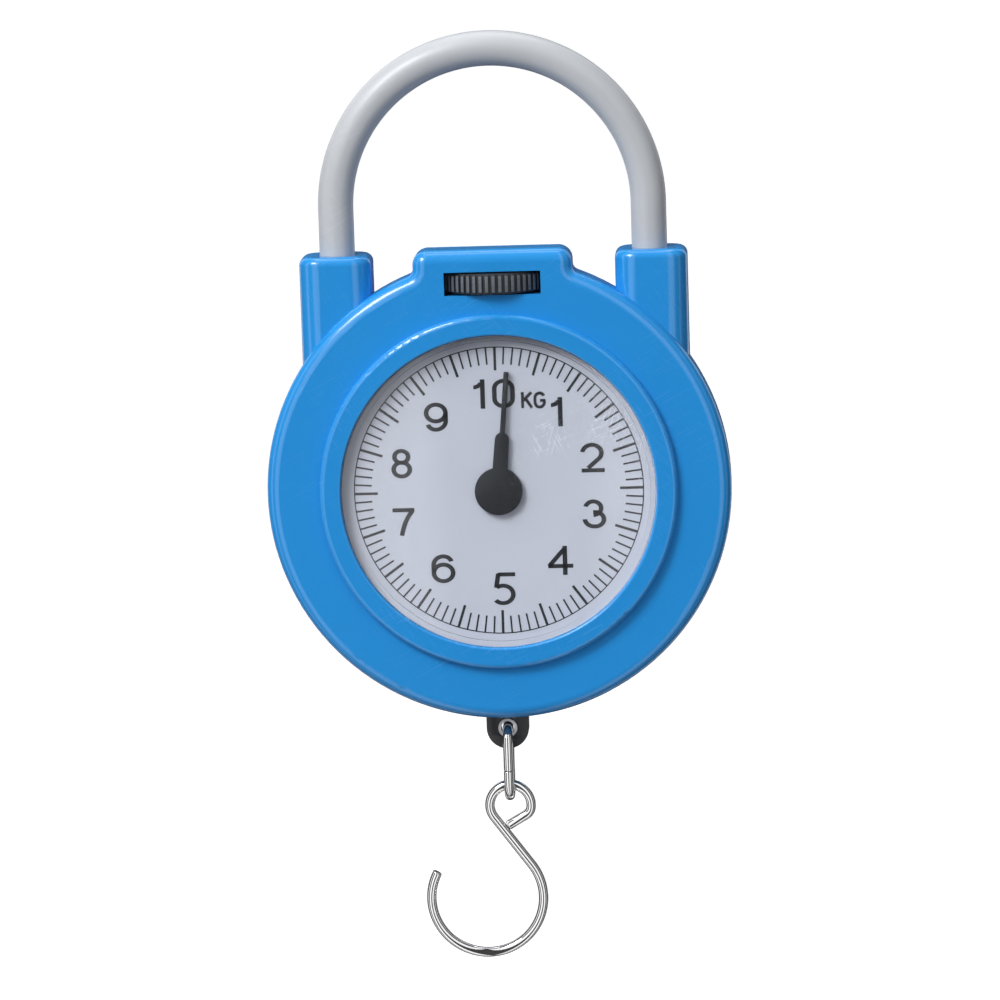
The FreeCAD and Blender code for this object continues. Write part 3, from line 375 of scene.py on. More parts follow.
@dataclass(frozen=True)
class ScreenInk:
    """Screen-printed ink: a solid dark with a slightly broken surface."""

    name: str
    colour: Colour

    def material(self) -> bpy.types.Material:
        """The finish as a material."""
        recipe = Recipe(self.name)
        weave = recipe.noise(0.12 * MM, 2.0)
        thin = recipe.noise(2 * MM, 3.0)
        colour = recipe.tint(thin, self.colour, tuple(c * 1.6 + 0.004 for c in self.colour))
        return recipe.surface(Base_Color=colour, Roughness=weave * 0.2 + 0.45,
                              Normal=recipe.bump(weave, 0.002 * MM))


@dataclass(frozen=True)
class ClearWindow:
    """Clear moulded plastic that lamps shine through, with fine scratches."""

    name: str
    colour: Colour
    roughness: float = 0.015
    scratches: float = 0.35

    def material(self) -> bpy.types.Material:
        """The finish as a material."""
        recipe = Recipe(self.name)
        patches = recipe.noise(26 * MM, 1.0).above(0.45, 0.25)
        marks = (recipe.streaks(7 * MM, 0.05 * MM, 0.4, self.scratches, 5.5)
                 + recipe.streaks(5 * MM, 0.04 * MM, -1.1, self.scratches, 9.3)
                 + recipe.streaks(11 * MM, 0.04 * MM, 1.3, self.scratches, 1.9)) * patches
        recipe.surface(Base_Color=self.colour, Roughness=marks * 0.35 + self.roughness,
                       IOR=1.49, Transmission_Weight=1.0,
                       Normal=recipe.bump(marks, -0.004 * MM))
        shadow = recipe.node("ShaderNodeLightPath", {}, {}, "Is Shadow Ray")
        open_air = recipe.node("ShaderNodeBsdfTransparent", {}, {"Color": (0.96, 0.97, 0.98)})
        return recipe.mixed(shadow, Value(recipe, recipe.shader.outputs[0]), open_air)


class Finish(Enum):
    """Every finish on the scale."""

    BLUE = MouldedPlastic("blue_moulding", linear(36, 146, 221), cloud=0.03, roughness=0.22,
                          scratches=0.25, wear=0.12, coat=0.25)
    GREY = MouldedPlastic("grey_bar", linear(188, 191, 195), cloud=0.05, roughness=0.36,
                          scratches=0.4, wear=0.25)
    BLACK = MouldedPlastic("black_moulding", linear(26, 26, 28), cloud=0.2, roughness=0.4,
                           scratches=0.3, wear=0.15)
    # The wheel's grey second colour is a painted highlight on the crests; its near-black third
    # colour is painted shade in the valleys.
    WHEEL = RidgeSheenAndShade("ribbed_black", linear(30, 33, 37), linear(112, 120, 130),
                         linear(14, 14, 15), -13.5 * MM, 10.8 * MM, 0.45 * MM)
    POINTER = MouldedPlastic("pointer_black", linear(20, 23, 27), cloud=0.1, roughness=0.5,
                             scratches=0.2, wear=0.1)
    CHROME = BrightPlate("chromed_wire", (0.70, 0.69, 0.68))
    EYELET = BrightPlate("eyelet_metal", (0.80, 0.79, 0.83), roughness=0.28, haze=0.2)
    STEEL = WorkedMetal("zinc_plate", (0.62, 0.62, 0.60))
    SCREW = WorkedMetal("screw_steel", (0.55, 0.55, 0.53), grain=(0.3 * MM, 0.05 * MM, 0.3 * MM))
    SPRING = WorkedMetal("spring_wire", (0.42, 0.42, 0.43), grain=(2 * MM, 2 * MM, 0.06 * MM),
                         tarnish=0.5)
    BRASS = WorkedMetal("turned_brass", (0.78, 0.60, 0.30), grain=(0.4 * MM, 0.03 * MM, 0.4 * MM),
                        roughness=0.25)
    DIAL = LacqueredDisc("dial_lacquer", linear(186, 189, 198), linear(120, 122, 130))
    INK = ScreenInk("dial_ink", linear(14, 15, 19))
    CLEAR = ClearWindow("clear_window", (0.97, 0.98, 1.0))


_made: dict[str, bpy.types.Material] = {}


def dress(piece: Piece, finish: Finish) -> None:
    """Gives a piece its finish, in every slot that it has."""
    if finish.name not in _made:
        _made[finish.name] = finish.value.material()
    if not piece.material_slots:
        piece.data.materials.append(None)
    for slot in piece.material_slots:
        slot.material = _made[finish.name]


# --- the workbench: modelling by operators, one piece at a time
def clear() -> None:
    """Leaves edit mode and selects nothing."""
    if bpy.context.mode != "OBJECT":
        bpy.ops.object.mode_set(mode="OBJECT")
    bpy.ops.object.select_all(action="DESELECT")


def take(name: str) -> Piece:
    """Names the primitive just added and returns it."""
    piece = bpy.context.active_object
    piece.name = name
    piece.data.name = name
    return piece


def only(piece: Piece) -> None:
    """Selects this piece alone and makes it active."""
    clear()
    piece.select_set(True)
    bpy.context.view_layer.objects.active = piece


def edit(piece: Piece) -> None:
    """Opens a piece in edit mode with nothing selected."""
    only(piece)
    bpy.ops.object.mode_set(mode="EDIT")
    bpy.ops.mesh.select_all(action="DESELECT")


def select() -> None:
    """Selects everything, in edit mode."""
    bpy.ops.mesh.select_all(action="SELECT")


def pick(piece: Piece, kind: str, test: Callable[[object], bool]) -> None:
    """Selects the verts, edges or faces that pass a test, in edit mode.

    Args:
        piece: the piece being edited.
        kind: "verts", "edges" or "faces".
        test: true for what should be selected.
    """
    mode = {"verts": "VERT", "edges": "EDGE", "faces": "FACE"}[kind]
    bpy.ops.mesh.select_mode(type=mode)
    bpy.ops.mesh.select_all(action="DESELECT")
    mesh = bmesh.from_edit_mesh(piece.data)
    for part in getattr(mesh, kind):
        if test(part):
            part.select = True
    mesh.select_flush_mode()
    bmesh.update_edit_mesh(piece.data)


def spin(steps: int, angle: float, centre: Vector, axis: Vector) -> None:
    """Sweeps what is selected round an axis, by the right-hand rule."""
    bpy.ops.mesh.spin(steps=steps, angle=-angle, center=centre, axis=axis)


def tidy(piece: Piece, merge: float = MERGE) -> None:
    """Merges doubles and turns every face outwards."""
    edit(piece)
    select()
    bpy.ops.mesh.remove_doubles(threshold=merge)
    bpy.ops.mesh.normals_make_consistent(inside=False)
    clear()


def settle(piece: Piece) -> None:
    """Puts a piece's place, turn and size into its mesh."""
    only(piece)
    bpy.ops.object.transform_apply(location=True, rotation=True, scale=True)


def smooth(piece: Piece, degrees: float = 35.0) -> None:
    """Shades smooth across every edge flatter than an angle."""
    only(piece)
    bpy.ops.object.shade_smooth_by_angle(angle=math.radians(degrees))


def apply(piece: Piece, kind: str, **settings: object) -> None:
    """Adds a modifier with these settings and applies it."""
    modifier = piece.modifiers.new(kind.lower(), kind)
    for key, value in settings.items():
        setattr(modifier, key, value)
    only(piece)
    bpy.ops.object.modifier_apply(modifier=modifier.name)


def cut(piece: Piece, tool: Piece, how: str = "DIFFERENCE") -> None:
    """Cuts, joins or keeps what two pieces share, and throws the tool away."""
    apply(piece, "BOOLEAN", operation=how, object=tool, solver="EXACT")
    bpy.data.objects.remove(tool)


def join(pieces: Sequence[Piece], name: str) -> Piece:
    """Makes one piece of several."""
    only(pieces[0])
    for piece in pieces:
        piece.select_set(True)
    bpy.ops.object.join()
    return take(name)


def copy(piece: Piece, name: str, matrix: Matrix) -> Piece:
    """A copy with its own mesh, moved by a matrix that goes into that mesh."""
    twin = piece.copy()
    twin.data = piece.data.copy()
    twin.name = name
    bpy.context.collection.objects.link(twin)
    twin.data.transform(matrix)
    return twin


def from_cad(node: str, name: str) -> Piece:
    """A merged copy of a CAD node, with flat areas as single faces, to work on."""
    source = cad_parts[node]
    twin = bpy.data.objects.new(name, source.data.copy())
    bpy.context.collection.objects.link(twin)
    only(twin)
    if twin.data.has_custom_normals:
        bpy.ops.mesh.customdata_custom_splitnormals_clear()
    tidy(twin)
    edit(twin)
    select()
    bpy.ops.mesh.dissolve_limited(angle_limit=math.radians(0.5))
    clear()
    return twin


def bevel_sharp(piece: Piece, width: float, degrees: float = 40.0,
                segments: int = 2) -> None:
    """Rounds every edge sharper than an angle."""
    apply(piece, "BEVEL", width=width, segments=segments, limit_method="ANGLE",
          angle_limit=math.radians(degrees))


@dataclass
class Run:
    """A straight stretch of wire."""

    along: Vector


@dataclass
class Turn:
    """An arc of wire, about a centre and an axis."""

    centre: Vector
    axis: Vector
    angle: float
    steps: int


@dataclass
class RoundWire:
    """Round bar or wire bent along straight runs and arcs."""

    radius: float
    sides: int
    start: Vector
    heading: Vector
    route: list[Run | Turn]
    end_round: float

    def build(self, name: str) -> Piece:
        """Sweeps a ring along the route, closes both ends and rounds their edges."""
        clear()
        turn = self.heading.to_track_quat("Z", "Y").to_euler()
        bpy.ops.mesh.primitive_circle_add(vertices=self.sides, radius=self.radius,
                                          location=self.start, rotation=turn)
        wire = take(name)
        settle(wire)
        edit(wire)
        bpy.ops.mesh.select_mode(type="EDGE")
        select()
        for stretch in self.route:
            if isinstance(stretch, Run):
                bpy.ops.mesh.extrude_edges_move(
                    TRANSFORM_OT_translate={"value": stretch.along})
            else:
                spin(stretch.steps, stretch.angle, stretch.centre, stretch.axis)
        select()
        bpy.ops.mesh.remove_doubles(threshold=MERGE)
        pick(wire, "edges", lambda e: e.is_boundary)
        bpy.ops.mesh.fill_holes(sides=0)
        pick(wire, "faces", lambda f: len(f.verts) > 4)
        bpy.ops.mesh.region_to_loop()
        bpy.ops.mesh.bevel(offset=self.end_round, segments=3, affect="EDGES")
        tidy(wire, FINE_MERGE)
        smooth(wire)
        return wire


# --- sub-assemblies
@dataclass
class Case:
    """The CAD nodes that keep their meshes: shells, screws, dial, eyelet and the works."""

    finishes: tuple[tuple[str, Finish], ...] = (
        ("front_shell", Finish.BLUE), ("back_shell", Finish.BLUE),
        ("case_screws", Finish.SCREW), ("handle_screws", Finish.SCREW),
        ("movement_plate", Finish.STEEL), ("movement_screws", Finish.SCREW),
        ("front_bush", Finish.BRASS), ("rear_bush", Finish.BRASS),
        ("pointer_shaft", Finish.STEEL), ("pinion", Finish.BRASS),
        ("spring_yoke", Finish.STEEL), ("zero_screw", Finish.SCREW),
        ("wheel_washer", Finish.STEEL), ("dial_plate", Finish.DIAL), ("tab_eyelet", Finish.EYELET))

    def build(self) -> None:
        """Gives each of these CAD nodes its finish."""
        for node, finish in self.finishes:
            dress(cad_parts[node], finish)
            log.info("dressed %s as %s", node, finish.name)


@dataclass
class Lens:
    """The clear cup over the dial: a window, a rim, and a flange just off the dial."""

    thick: float = 1.0 * MM
    rim: float = 1.2 * MM
    edge: float = 0.4 * MM
    clear_of_dial: float = 0.04 * MM
    opening: float = 31.1 * MM
    flange: float = 1.1 * MM
    steps: int = 192

    def build(self) -> None:
        """Spins the cup's section about the pointer's axis."""
        low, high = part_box("lens")
        front, back = low.y, high.y - self.clear_of_dial
        seat = high.y - self.flange
        inner = self.opening - self.rim
        corner = self.edge * (1 - math.sqrt(0.5))
        section = ((0, front), (self.opening - self.edge, front),
                   (self.opening - corner, front + corner), (self.opening, front + self.edge),
                   (self.opening, seat), (high.x, seat), (high.x, back), (inner, back),
                   (inner, front + self.thick), (0, front + self.thick))
        clear()
        bpy.ops.mesh.primitive_plane_add(size=self.edge)
        cup = take("lens_cup")
        edit(cup)
        select()
        bpy.ops.mesh.merge(type="CENTER")
        clear()
        cup.data.transform(Matrix.Translation((0, front, 0)))
        edit(cup)
        bpy.ops.mesh.select_mode(type="VERT")
        select()
        for (x0, y0), (x1, y1) in zip(section, section[1:]):
            bpy.ops.mesh.extrude_vertices_move(
                TRANSFORM_OT_translate={"value": (x1 - x0, y1 - y0, 0)})
        select()
        spin(self.steps, 2 * math.pi, Vector((0, 0, 0)), INWARD)
        tidy(cup)
        smooth(cup, 30)
        dress(cup, Finish.CLEAR)
        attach(cup, "case")
        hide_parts("lens")
        log.info("spun the lens, %.1f mm across its window", 2 * self.opening / MM)


@dataclass
class Handle:
    """The arch of grey bar, with its cross holes for the screws."""

    bar_radius: float = 3.5 * MM
    hole_radius: float = 1.7 * MM
    sides: int = 72

    def build(self) -> None:
        """Bends the bar between the places that the CAD handle gives."""
        low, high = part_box("handle")
        spread = high.x - self.bar_radius
        middle_y = (low.y + high.y) / 2
        arch_z = high.z - self.bar_radius - spread
        leg = Vector((0, 0, arch_z - low.z))
        bar = RoundWire(
            radius=self.bar_radius, sides=self.sides, start=Vector((-spread, middle_y, low.z)),
            heading=UPRIGHT, end_round=0.5 * MM,
            route=[Run(leg), Turn(Vector((0, middle_y, arch_z)), INWARD, math.pi, 96),
                   Run(-leg)]).build("handle_bar")
        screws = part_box("handle_screws")
        hole_z = (screws[0].z + screws[1].z) / 2
        for side in (-1, 1):
            clear()
            bpy.ops.mesh.primitive_cylinder_add(
                vertices=32, radius=self.hole_radius, depth=4 * self.bar_radius,
                location=(side * spread, middle_y, hole_z), rotation=(math.pi / 2, 0, 0))
            cut(bar, take("hole_tool"))
        smooth(bar)
        dress(bar, Finish.GREY)
        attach(bar, "case")
        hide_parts("handle")
        log.info("bent the handle over a spread of %.1f mm", 2 * spread / MM)


@dataclass(frozen=True)
class PenLine:
    """One line of a figure: straight parts in millimetres, and (radius, degrees) arcs.

    A positive turn is to the left. The start is about the figure's middle, and the heading
    is in degrees from the right.
    """

    start: tuple[float, float]
    heading: float
    parts: tuple[float | tuple[float, float], ...]

    def scaled(self, share: float) -> "PenLine":
        """The same line at another size."""
        parts = tuple(part * share if isinstance(part, float) else (part[0] * share, part[1])
                      for part in self.parts)
        return PenLine((self.start[0] * share, self.start[1] * share), self.heading, parts)


# A figure's arcs and level lines reach about 2.5 mm above and below its middle, and its
# upright lines 2.9 mm, where the pen is cut off square.
SIGNS: dict[str, tuple[PenLine, ...]] = {
    "0": (PenLine((-1.55, -0.95), 90, (1.9, (1.55, -180.0), 1.9, (1.55, -180.0))),),
    "1": (PenLine((0.0, -2.9), 90, (5.8,)),
          PenLine((-1.55, 1.35), 0, ((1.45, 65.0),))),
    "2": (PenLine((-1.72, 1.15), 82, ((1.62, -218.0), 1.55, (2.6, 0.5), 1.0)),
          PenLine((-1.95, -2.5), 0, (3.95,))),
    "3": (PenLine((-1.6, 1.35), 75, ((1.35, -255.0),)),
          PenLine((-0.35, 0.22), 0, (0.4, (1.42, -180.0), 0.25, (1.6, -85.0)))),
    "4": (PenLine((0.85, -2.9), 90, (5.8,)),
          PenLine((-2.05, -1.1), 0, (4.3,)),
          PenLine((-1.9, -1.1), 52.0, (4.45,))),
    "5": (PenLine((1.75, 2.5), 180, (3.0,)),
          PenLine((-1.15, 2.7), 262, (2.85,)),
          PenLine((-1.5, -0.1), 38, ((1.75, -225.0), (1.6, -45.0)))),
    "6": (PenLine((1.4, 1.46), 105, ((1.4, 75.0), (1.7, 90.0), 1.6, (1.65, 360.0))),),
    "7": (PenLine((-1.85, 2.5), 0, (3.75,)),
          PenLine((1.65, 2.45), 232, ((9.0, 25.0), 1.55))),
    "8": (PenLine((0.0, 2.5), 0, ((1.18, -360.0),)),
          PenLine((0.0, 0.2), 0, ((1.38, -360.0),))),
    "9": (PenLine((-1.4, -1.46), 285, ((1.4, 75.0), (1.7, 90.0), 1.6, (1.65, 360.0))),),
    "K": (PenLine((-1.75, -2.9), 90, (5.8,)),
          PenLine((-1.75, -0.5), 44, (4.7,)),
          PenLine((-0.6, 0.55), 304, (4.15,))),
    "G": (PenLine((1.586, 1.49), 115, ((1.75, 155.0), 1.5, (1.75, 180.0), 0.6)),
          PenLine((0.1, -0.15), 0, (2.05,))),
}


@dataclass
class DialPrint:
    """Everything printed on the dial: the circle, the divisions, the numbers and the unit."""

    divisions: int = 100
    every: int = 5
    ring_radius: float = 28.4 * MM
    ring_width: float = 0.22 * MM
    long_tick: tuple[float, float] = (4.6 * MM, 0.52 * MM)
    short_tick: tuple[float, float] = (3.4 * MM, 0.34 * MM)
    ink: float = 0.02 * MM
    pen: float = 0.80 * MM
    widening: float = 1.15       # of every figure, with its pen
    unit_widening: float = 0.95
    unit_scale: float = 0.55
    places: tuple[tuple[str, float, float], ...] = (
        ("1", -2.6, 19.2), ("0", 1.5, 19.2), ("1", 12.5, 15.34), ("2", 18.6, 6.1),
        ("3", 18.78, -4.92), ("4", 11.61, -14.16), ("5", 0.69, -19.19), ("6", -11.4, -15.3),
        ("7", -18.92, -5.92), ("8", -18.95, 5.84), ("9", -11.89, 14.88))
    unit_places: tuple[tuple[str, float, float], ...] = (("K", 6.1, 17.81), ("G", 8.55, 17.74))

    def face(self) -> float:
        """The depth of the dial's front face."""
        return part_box("dial_plate")[0].y

    def slab(self, name: str, length: float, width: float) -> Piece:
        """One upright bar of ink, whose top touches the printed circle."""
        clear()
        middle = Vector((0, self.face() - self.ink / 2, self.ring_radius - length / 2))
        bpy.ops.mesh.primitive_cube_add(size=1, location=middle)
        bar = take(name)
        bar.scale = (width, self.ink, length)
        settle(bar)
        edit(bar)
        pick(bar, "edges", lambda e: abs(e.verts[0].co.y - e.verts[1].co.y) > self.ink / 2)
        bpy.ops.mesh.bevel(offset=width * 0.12, segments=1, affect="EDGES")
        clear()
        return bar

    def ticks(self) -> Piece:
        """All the divisions, copied round the dial from one long and one short bar."""
        long_bar = self.slab("long_tick", *self.long_tick)
        short_bar = self.slab("short_tick", *self.short_tick)
        marks = []
        for number in range(self.divisions):
            source = short_bar if number % self.every else long_bar
            turn = Matrix.Rotation(2 * math.pi * number / self.divisions, 4, "Y")
            marks.append(copy(source, f"tick_{number}", turn))
        bpy.data.objects.remove(long_bar)
        bpy.data.objects.remove(short_bar)
        return join(marks, "dial_ticks")

    def circle(self) -> Piece:
        """The thin printed circle, spun from a small square."""
        clear()
        bpy.ops.mesh.primitive_plane_add(
            size=1, location=(self.ring_radius, self.face() - self.ink / 2, 0))
        ring = take("dial_circle")
        ring.scale = (self.ring_width, self.ink, 1)
        settle(ring)
        edit(ring)
        select()
        bpy.ops.mesh.delete(type="ONLY_FACE")
        select()
        bpy.ops.mesh.spin(steps=200, angle=2 * math.pi, center=(0, 0, 0), axis=(0, 1, 0))
        tidy(ring)
        smooth(ring)
        return ring

    def line(self, stroke: PenLine, place: tuple[float, float], pen: float,
             widening: float) -> Piece:
        """One stroke of a figure, as a thin raised band of ink.

        Args:
            stroke: the pen's way, in millimetres about the figure's middle.
            place: (x, z) of that middle on the dial.
            pen: the width of the line.
            widening: how much wider than drawn the stroke is.

        Returns:
            The band.
        """
        clear()
        x, z = stroke.start
        heading = math.radians(stroke.heading)
        bpy.ops.mesh.primitive_plane_add(size=pen, rotation=(math.pi / 2, 0, 0))
        band = take("stroke")
        settle(band)
        edit(band)
        pick(band, "verts", lambda v: v.co.x > 0)
        bpy.ops.mesh.delete(type="VERT")
        clear()
        band.data.transform(Matrix.Translation((x * MM, 0, z * MM))
                            @ Matrix.Rotation(-heading, 4, "Y")
                            @ Matrix.Translation((pen / 2, 0, 0)))
        edit(band)
        bpy.ops.mesh.select_mode(type="EDGE")
        select()
        at = Vector((x * MM, 0, z * MM))
        for part in stroke.parts:
            if isinstance(part, float):
                step = Vector((math.cos(heading), 0, math.sin(heading))) * part * MM
                bpy.ops.mesh.extrude_edges_move(TRANSFORM_OT_translate={"value": step})
                at += step
                continue
            radius, degrees = part
            angle = math.radians(degrees)
            side = math.copysign(radius * MM, degrees)
            centre = at + Vector((-math.sin(heading), 0, math.cos(heading))) * side
            spin(max(3, round(abs(degrees) / 9)), -angle, centre, INWARD)
            at = centre + Matrix.Rotation(-angle, 3, "Y") @ (at - centre)
            heading += angle
        select()
        bpy.ops.mesh.remove_doubles(threshold=FINE_MERGE)
        select()
        bpy.ops.mesh.extrude_region_move(TRANSFORM_OT_translate={"value": (0, -self.ink, 0)})
        clear()
        wide = Matrix.Diagonal((widening, 1, 1, 1))
        band.data.transform(Matrix.Translation((place[0], self.face(), place[1])) @ wide)
        tidy(band, FINE_MERGE)
        return band

    def figure(self, sign: str, place: tuple[float, float], scale: float,
               widening: float) -> list[Piece]:
        """The strokes of one figure or letter, about a place on the dial.

        Args:
            sign: which of SIGNS it is.
            place: its middle, across and up.
            scale: its size, where 1 is that of the numbers.
            widening: how much wider than drawn it is.

        Returns:
            One band of ink for each stroke.
        """
        pen = self.pen * (0.5 + 0.5 * scale)
        return [self.line(stroke.scaled(scale), place, pen, widening) for stroke in SIGNS[sign]]

    def numbers(self) -> Piece:
        """The figures 1 to 10 round the dial, upright, and the unit beside the ten."""
        marks: list[Piece] = []
        for sign, x, z in self.places:
            marks += self.figure(sign, (x * MM, z * MM), 1.0, self.widening)
        for sign, x, z in self.unit_places:
            marks += self.figure(sign, (x * MM, z * MM), self.unit_scale, self.unit_widening)
        return join(marks, "dial_numbers")

    def build(self) -> None:
        """Prints the dial."""
        for piece in (self.ticks(), self.circle(), self.numbers()):
            dress(piece, Finish.INK)
            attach(piece, "case")
            log.info("printed %s", piece.name)


@dataclass
class Pointer:
    """The black pointer, with its edges softened."""

    edge: float = 0.08 * MM

    def build(self) -> None:
        """Works the CAD pointer's own outline into a finished moulding."""
        blade = from_cad("pointer", "pointer_blade")
        bevel_sharp(blade, self.edge)
        smooth(blade)
        dress(blade, Finish.POINTER)
        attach(blade, "pointer")
        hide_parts("pointer")
        log.info("finished the pointer")


@dataclass
class ZeroWheel:
    """The knurled thumb wheel."""

    ridges: int = 52
    ridge_depth: float = 0.45 * MM
    bore: float = 2.05 * MM
    rim: float = 0.5 * MM

    def build(self) -> None:
        """Raises every other facet of a drum, rounds the ridges and chamfers the rims."""
        low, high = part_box("zero_wheel")
        middle = (low + high) / 2
        outer = (high.x - low.x) / 2
        height = high.z - low.z
        valley = outer - self.ridge_depth
        clear()
        bpy.ops.mesh.primitive_cylinder_add(vertices=2 * self.ridges, radius=valley,
                                            depth=height, location=middle)
        wheel = take("thumb_wheel")
        settle(wheel)
        edit(wheel)

        def is_ridge(face: bmesh.types.BMFace) -> bool:
            """True for every other side face."""
            centre = face.calc_center_median() - middle
            number = math.atan2(centre.y, centre.x) / (2 * math.pi) * 2 * self.ridges
            return abs(face.normal.z) < 0.5 and round(number - 0.5) % 2 == 0

        pick(wheel, "faces", is_ridge)
        bpy.ops.mesh.extrude_region_shrink_fatten(
            TRANSFORM_OT_shrink_fatten={"value": self.ridge_depth})
        clear()
        bpy.ops.mesh.primitive_cylinder_add(vertices=6 * self.ridges, radius=outer,
                                            depth=height, location=middle)
        blank = take("rim_tool")
        bevel_sharp(blank, self.rim, 60, 1)
        cut(wheel, blank, "INTERSECT")
        clear()
        bpy.ops.mesh.primitive_cylinder_add(vertices=48, radius=self.bore, depth=2 * height,
                                            location=middle)
        cut(wheel, take("bore_tool"))
        tidy(wheel)
        bevel_sharp(wheel, 0.07 * MM, 35)
        smooth(wheel, 50)
        dress(wheel, Finish.WHEEL)
        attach(wheel, "zero_wheel")
        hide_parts("zero_wheel")
        log.info("knurled the thumb wheel with %d ridges", self.ridges)


@dataclass
class LoadBar:
    """The black load bar with its rack and the tab below the case."""

    edge: float = 0.15 * MM

    def build(self) -> None:
        """Softens the CAD bar's edges."""
        bar = from_cad("load_bar", "load_bar_moulding")
        bevel_sharp(bar, self.edge, 60)
        smooth(bar)
        dress(bar, Finish.BLACK)
        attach(bar, "load_bar")
        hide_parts("load_bar")
        log.info("finished the load bar")


@dataclass
class Springs:
    """The two springs, which stretch between the case and the load bar."""

    wire: float = 0.575 * MM
    turns: int = 30
    bend: float = 0.9 * MM
    sides: int = 14
    steps: int = 30

    def spring(self, node: str, side: int) -> None:
        """Winds one spring and bends a hook at each end."""
        low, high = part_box(node)
        axis = Vector((0, (low.y + high.y) / 2, 0))
        radius = (high.y - low.y) / 2 - self.wire
        top = high.z - self.wire - radius - self.bend
        bottom = low.z + self.wire + radius + self.bend
        pitch = (top - bottom) / self.turns
        rise = math.atan2(pitch, 2 * math.pi * radius)
        clear()
        bpy.ops.mesh.primitive_circle_add(
            vertices=self.sides, radius=self.wire, location=(0, -radius, 0),
            rotation=(0, math.pi / 2 - rise, 0))
        coil = take(f"{node}_coil")
        settle(coil)
        apply(coil, "SCREW", angle=2 * math.pi, screw_offset=pitch,
              iterations=self.turns, steps=self.steps, render_steps=self.steps,
              axis="Z", use_smooth_shade=True)
        coil.data.transform(Matrix.Translation((0, 0, bottom)))
        for way in (1, -1):
            start = Vector((0, -radius, top if way > 0 else bottom))
            centre = start + Vector((-math.sin(rise), 0, math.cos(rise))) * self.bend * way
            end = centre + Vector((self.bend * way, 0, 0))
            edit(coil)
            pick(coil, "edges", lambda e: e.is_boundary and all(
                (v.co - start).length < 2 * self.wire for v in e.verts))
            spin(6, -(math.pi / 2 - rise), centre, INWARD)
            spin(20, -math.pi * way, end + Vector((0, radius, 0)), ACROSS)
        select()
        bpy.ops.mesh.remove_doubles(threshold=MERGE)
        pick(coil, "edges", lambda e: e.is_boundary)
        bpy.ops.mesh.fill_holes(sides=0)
        tidy(coil)
        if side < 0:
            coil.data.transform(Matrix.Rotation(math.pi, 4, "Z"))
        shift = (high.x + low.x) / 2
        coil.data.transform(Matrix.Translation((shift, axis.y, 0)))
        smooth(coil)
        dress(coil, Finish.SPRING)
        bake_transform(coil)
        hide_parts(node)
        log.info("wound %s at a radius of %.2f mm", node, radius / MM)

    def build(self) -> None:
        """Winds both."""
        self.spring("spring_left", -1)
        self.spring("spring_right", 1)


@dataclass
class HangingWire:
    """The split link and the S-hook, bent from the same wire."""

    wire: float = 1.0 * MM
    sides: int = 48
    split: float = 0.15 * MM
    split_z: float = -57.4 * MM
    eye: float = 4.15 * MM
    bend: float = 11.3 * MM
    tail_bend: float = 2.0 * MM
    tail_start: float = math.radians(-9)
    tail_slope: float = math.radians(30)
    tail_gap: float = 0.15 * MM
    tip: float = math.radians(151)

    def link(self) -> Piece:
        """The oval ring, closed but for the butt in its front leg."""
        low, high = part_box("link")
        middle_y = (low.y + high.y) / 2
        bend = (high.y - low.y) / 2 - self.wire
        top = high.z - self.wire - bend
        bottom = low.z + self.wire + bend
        front = middle_y - bend
        start = Vector((0, front, self.split_z + self.split / 2))
        ring = RoundWire(
            radius=self.wire, sides=self.sides, start=start, heading=UPRIGHT,
            end_round=0.12 * MM,
            route=[Run(Vector((0, 0, top - start.z))),
                   Turn(Vector((0, middle_y, top)), ACROSS, -math.pi, 48),
                   Run(Vector((0, 0, bottom - top))),
                   Turn(Vector((0, middle_y, bottom)), ACROSS, -math.pi, 48),
                   Run(Vector((0, 0, self.split_z - self.split / 2 - bottom)))]).build("link_ring")
        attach(ring, "link")
        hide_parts("link")
        return ring

    def hook(self) -> Piece:
        """The hook: tail, closed eye, slanting shank and the open bend."""
        low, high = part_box("s_hook")
        y = (low.y + high.y) / 2
        eye = Vector((0, y, high.z - self.wire - self.eye))
        big = Vector((high.x - self.wire - self.bend, y, low.z + self.wire + self.bend))
        gap = (big - eye).length
        slope = math.asin((self.eye + self.bend) / gap) - math.atan2(-big.x, eye.z - big.z)
        side = Vector((math.cos(slope), 0, math.sin(slope)))
        shank_top = eye - side * self.eye
        shank_end = big + side * self.bend
        small = eye + (self.eye - self.tail_bend) * Vector(
            (math.cos(self.tail_start), 0, math.sin(self.tail_start)))
        turned = self.tail_slope - math.pi / 2
        bend_end = small + self.tail_bend * Vector((math.cos(turned), 0, math.sin(turned)))
        tail = -Vector((math.cos(self.tail_slope), 0, math.sin(self.tail_slope)))
        reach = (bend_end - shank_top).dot(side) - self.wire - self.tail_gap
        tail_end = bend_end + tail * (reach / abs(tail.dot(side)))
        eye_turn = math.pi + slope - self.tail_start
        big_turn = slope - (self.tip - 2 * math.pi)
        hook = RoundWire(
            radius=self.wire, sides=self.sides, start=tail_end, heading=-tail,
            end_round=0.3 * MM,
            route=[Run(bend_end - tail_end),
                   Turn(small, INWARD, -(self.tail_start - turned), 10),
                   Turn(eye, INWARD, -eye_turn, 64),
                   Run(shank_end - shank_top),
                   Turn(big, INWARD, big_turn, 96)]).build("hook_wire")
        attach(hook, "hook")
        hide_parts("s_hook")
        return hook

    def build(self) -> None:
        """Bends both and chromes them."""
        for piece in (self.link(), self.hook()):
            dress(piece, Finish.CHROME)
            log.info("bent %s", piece.name)


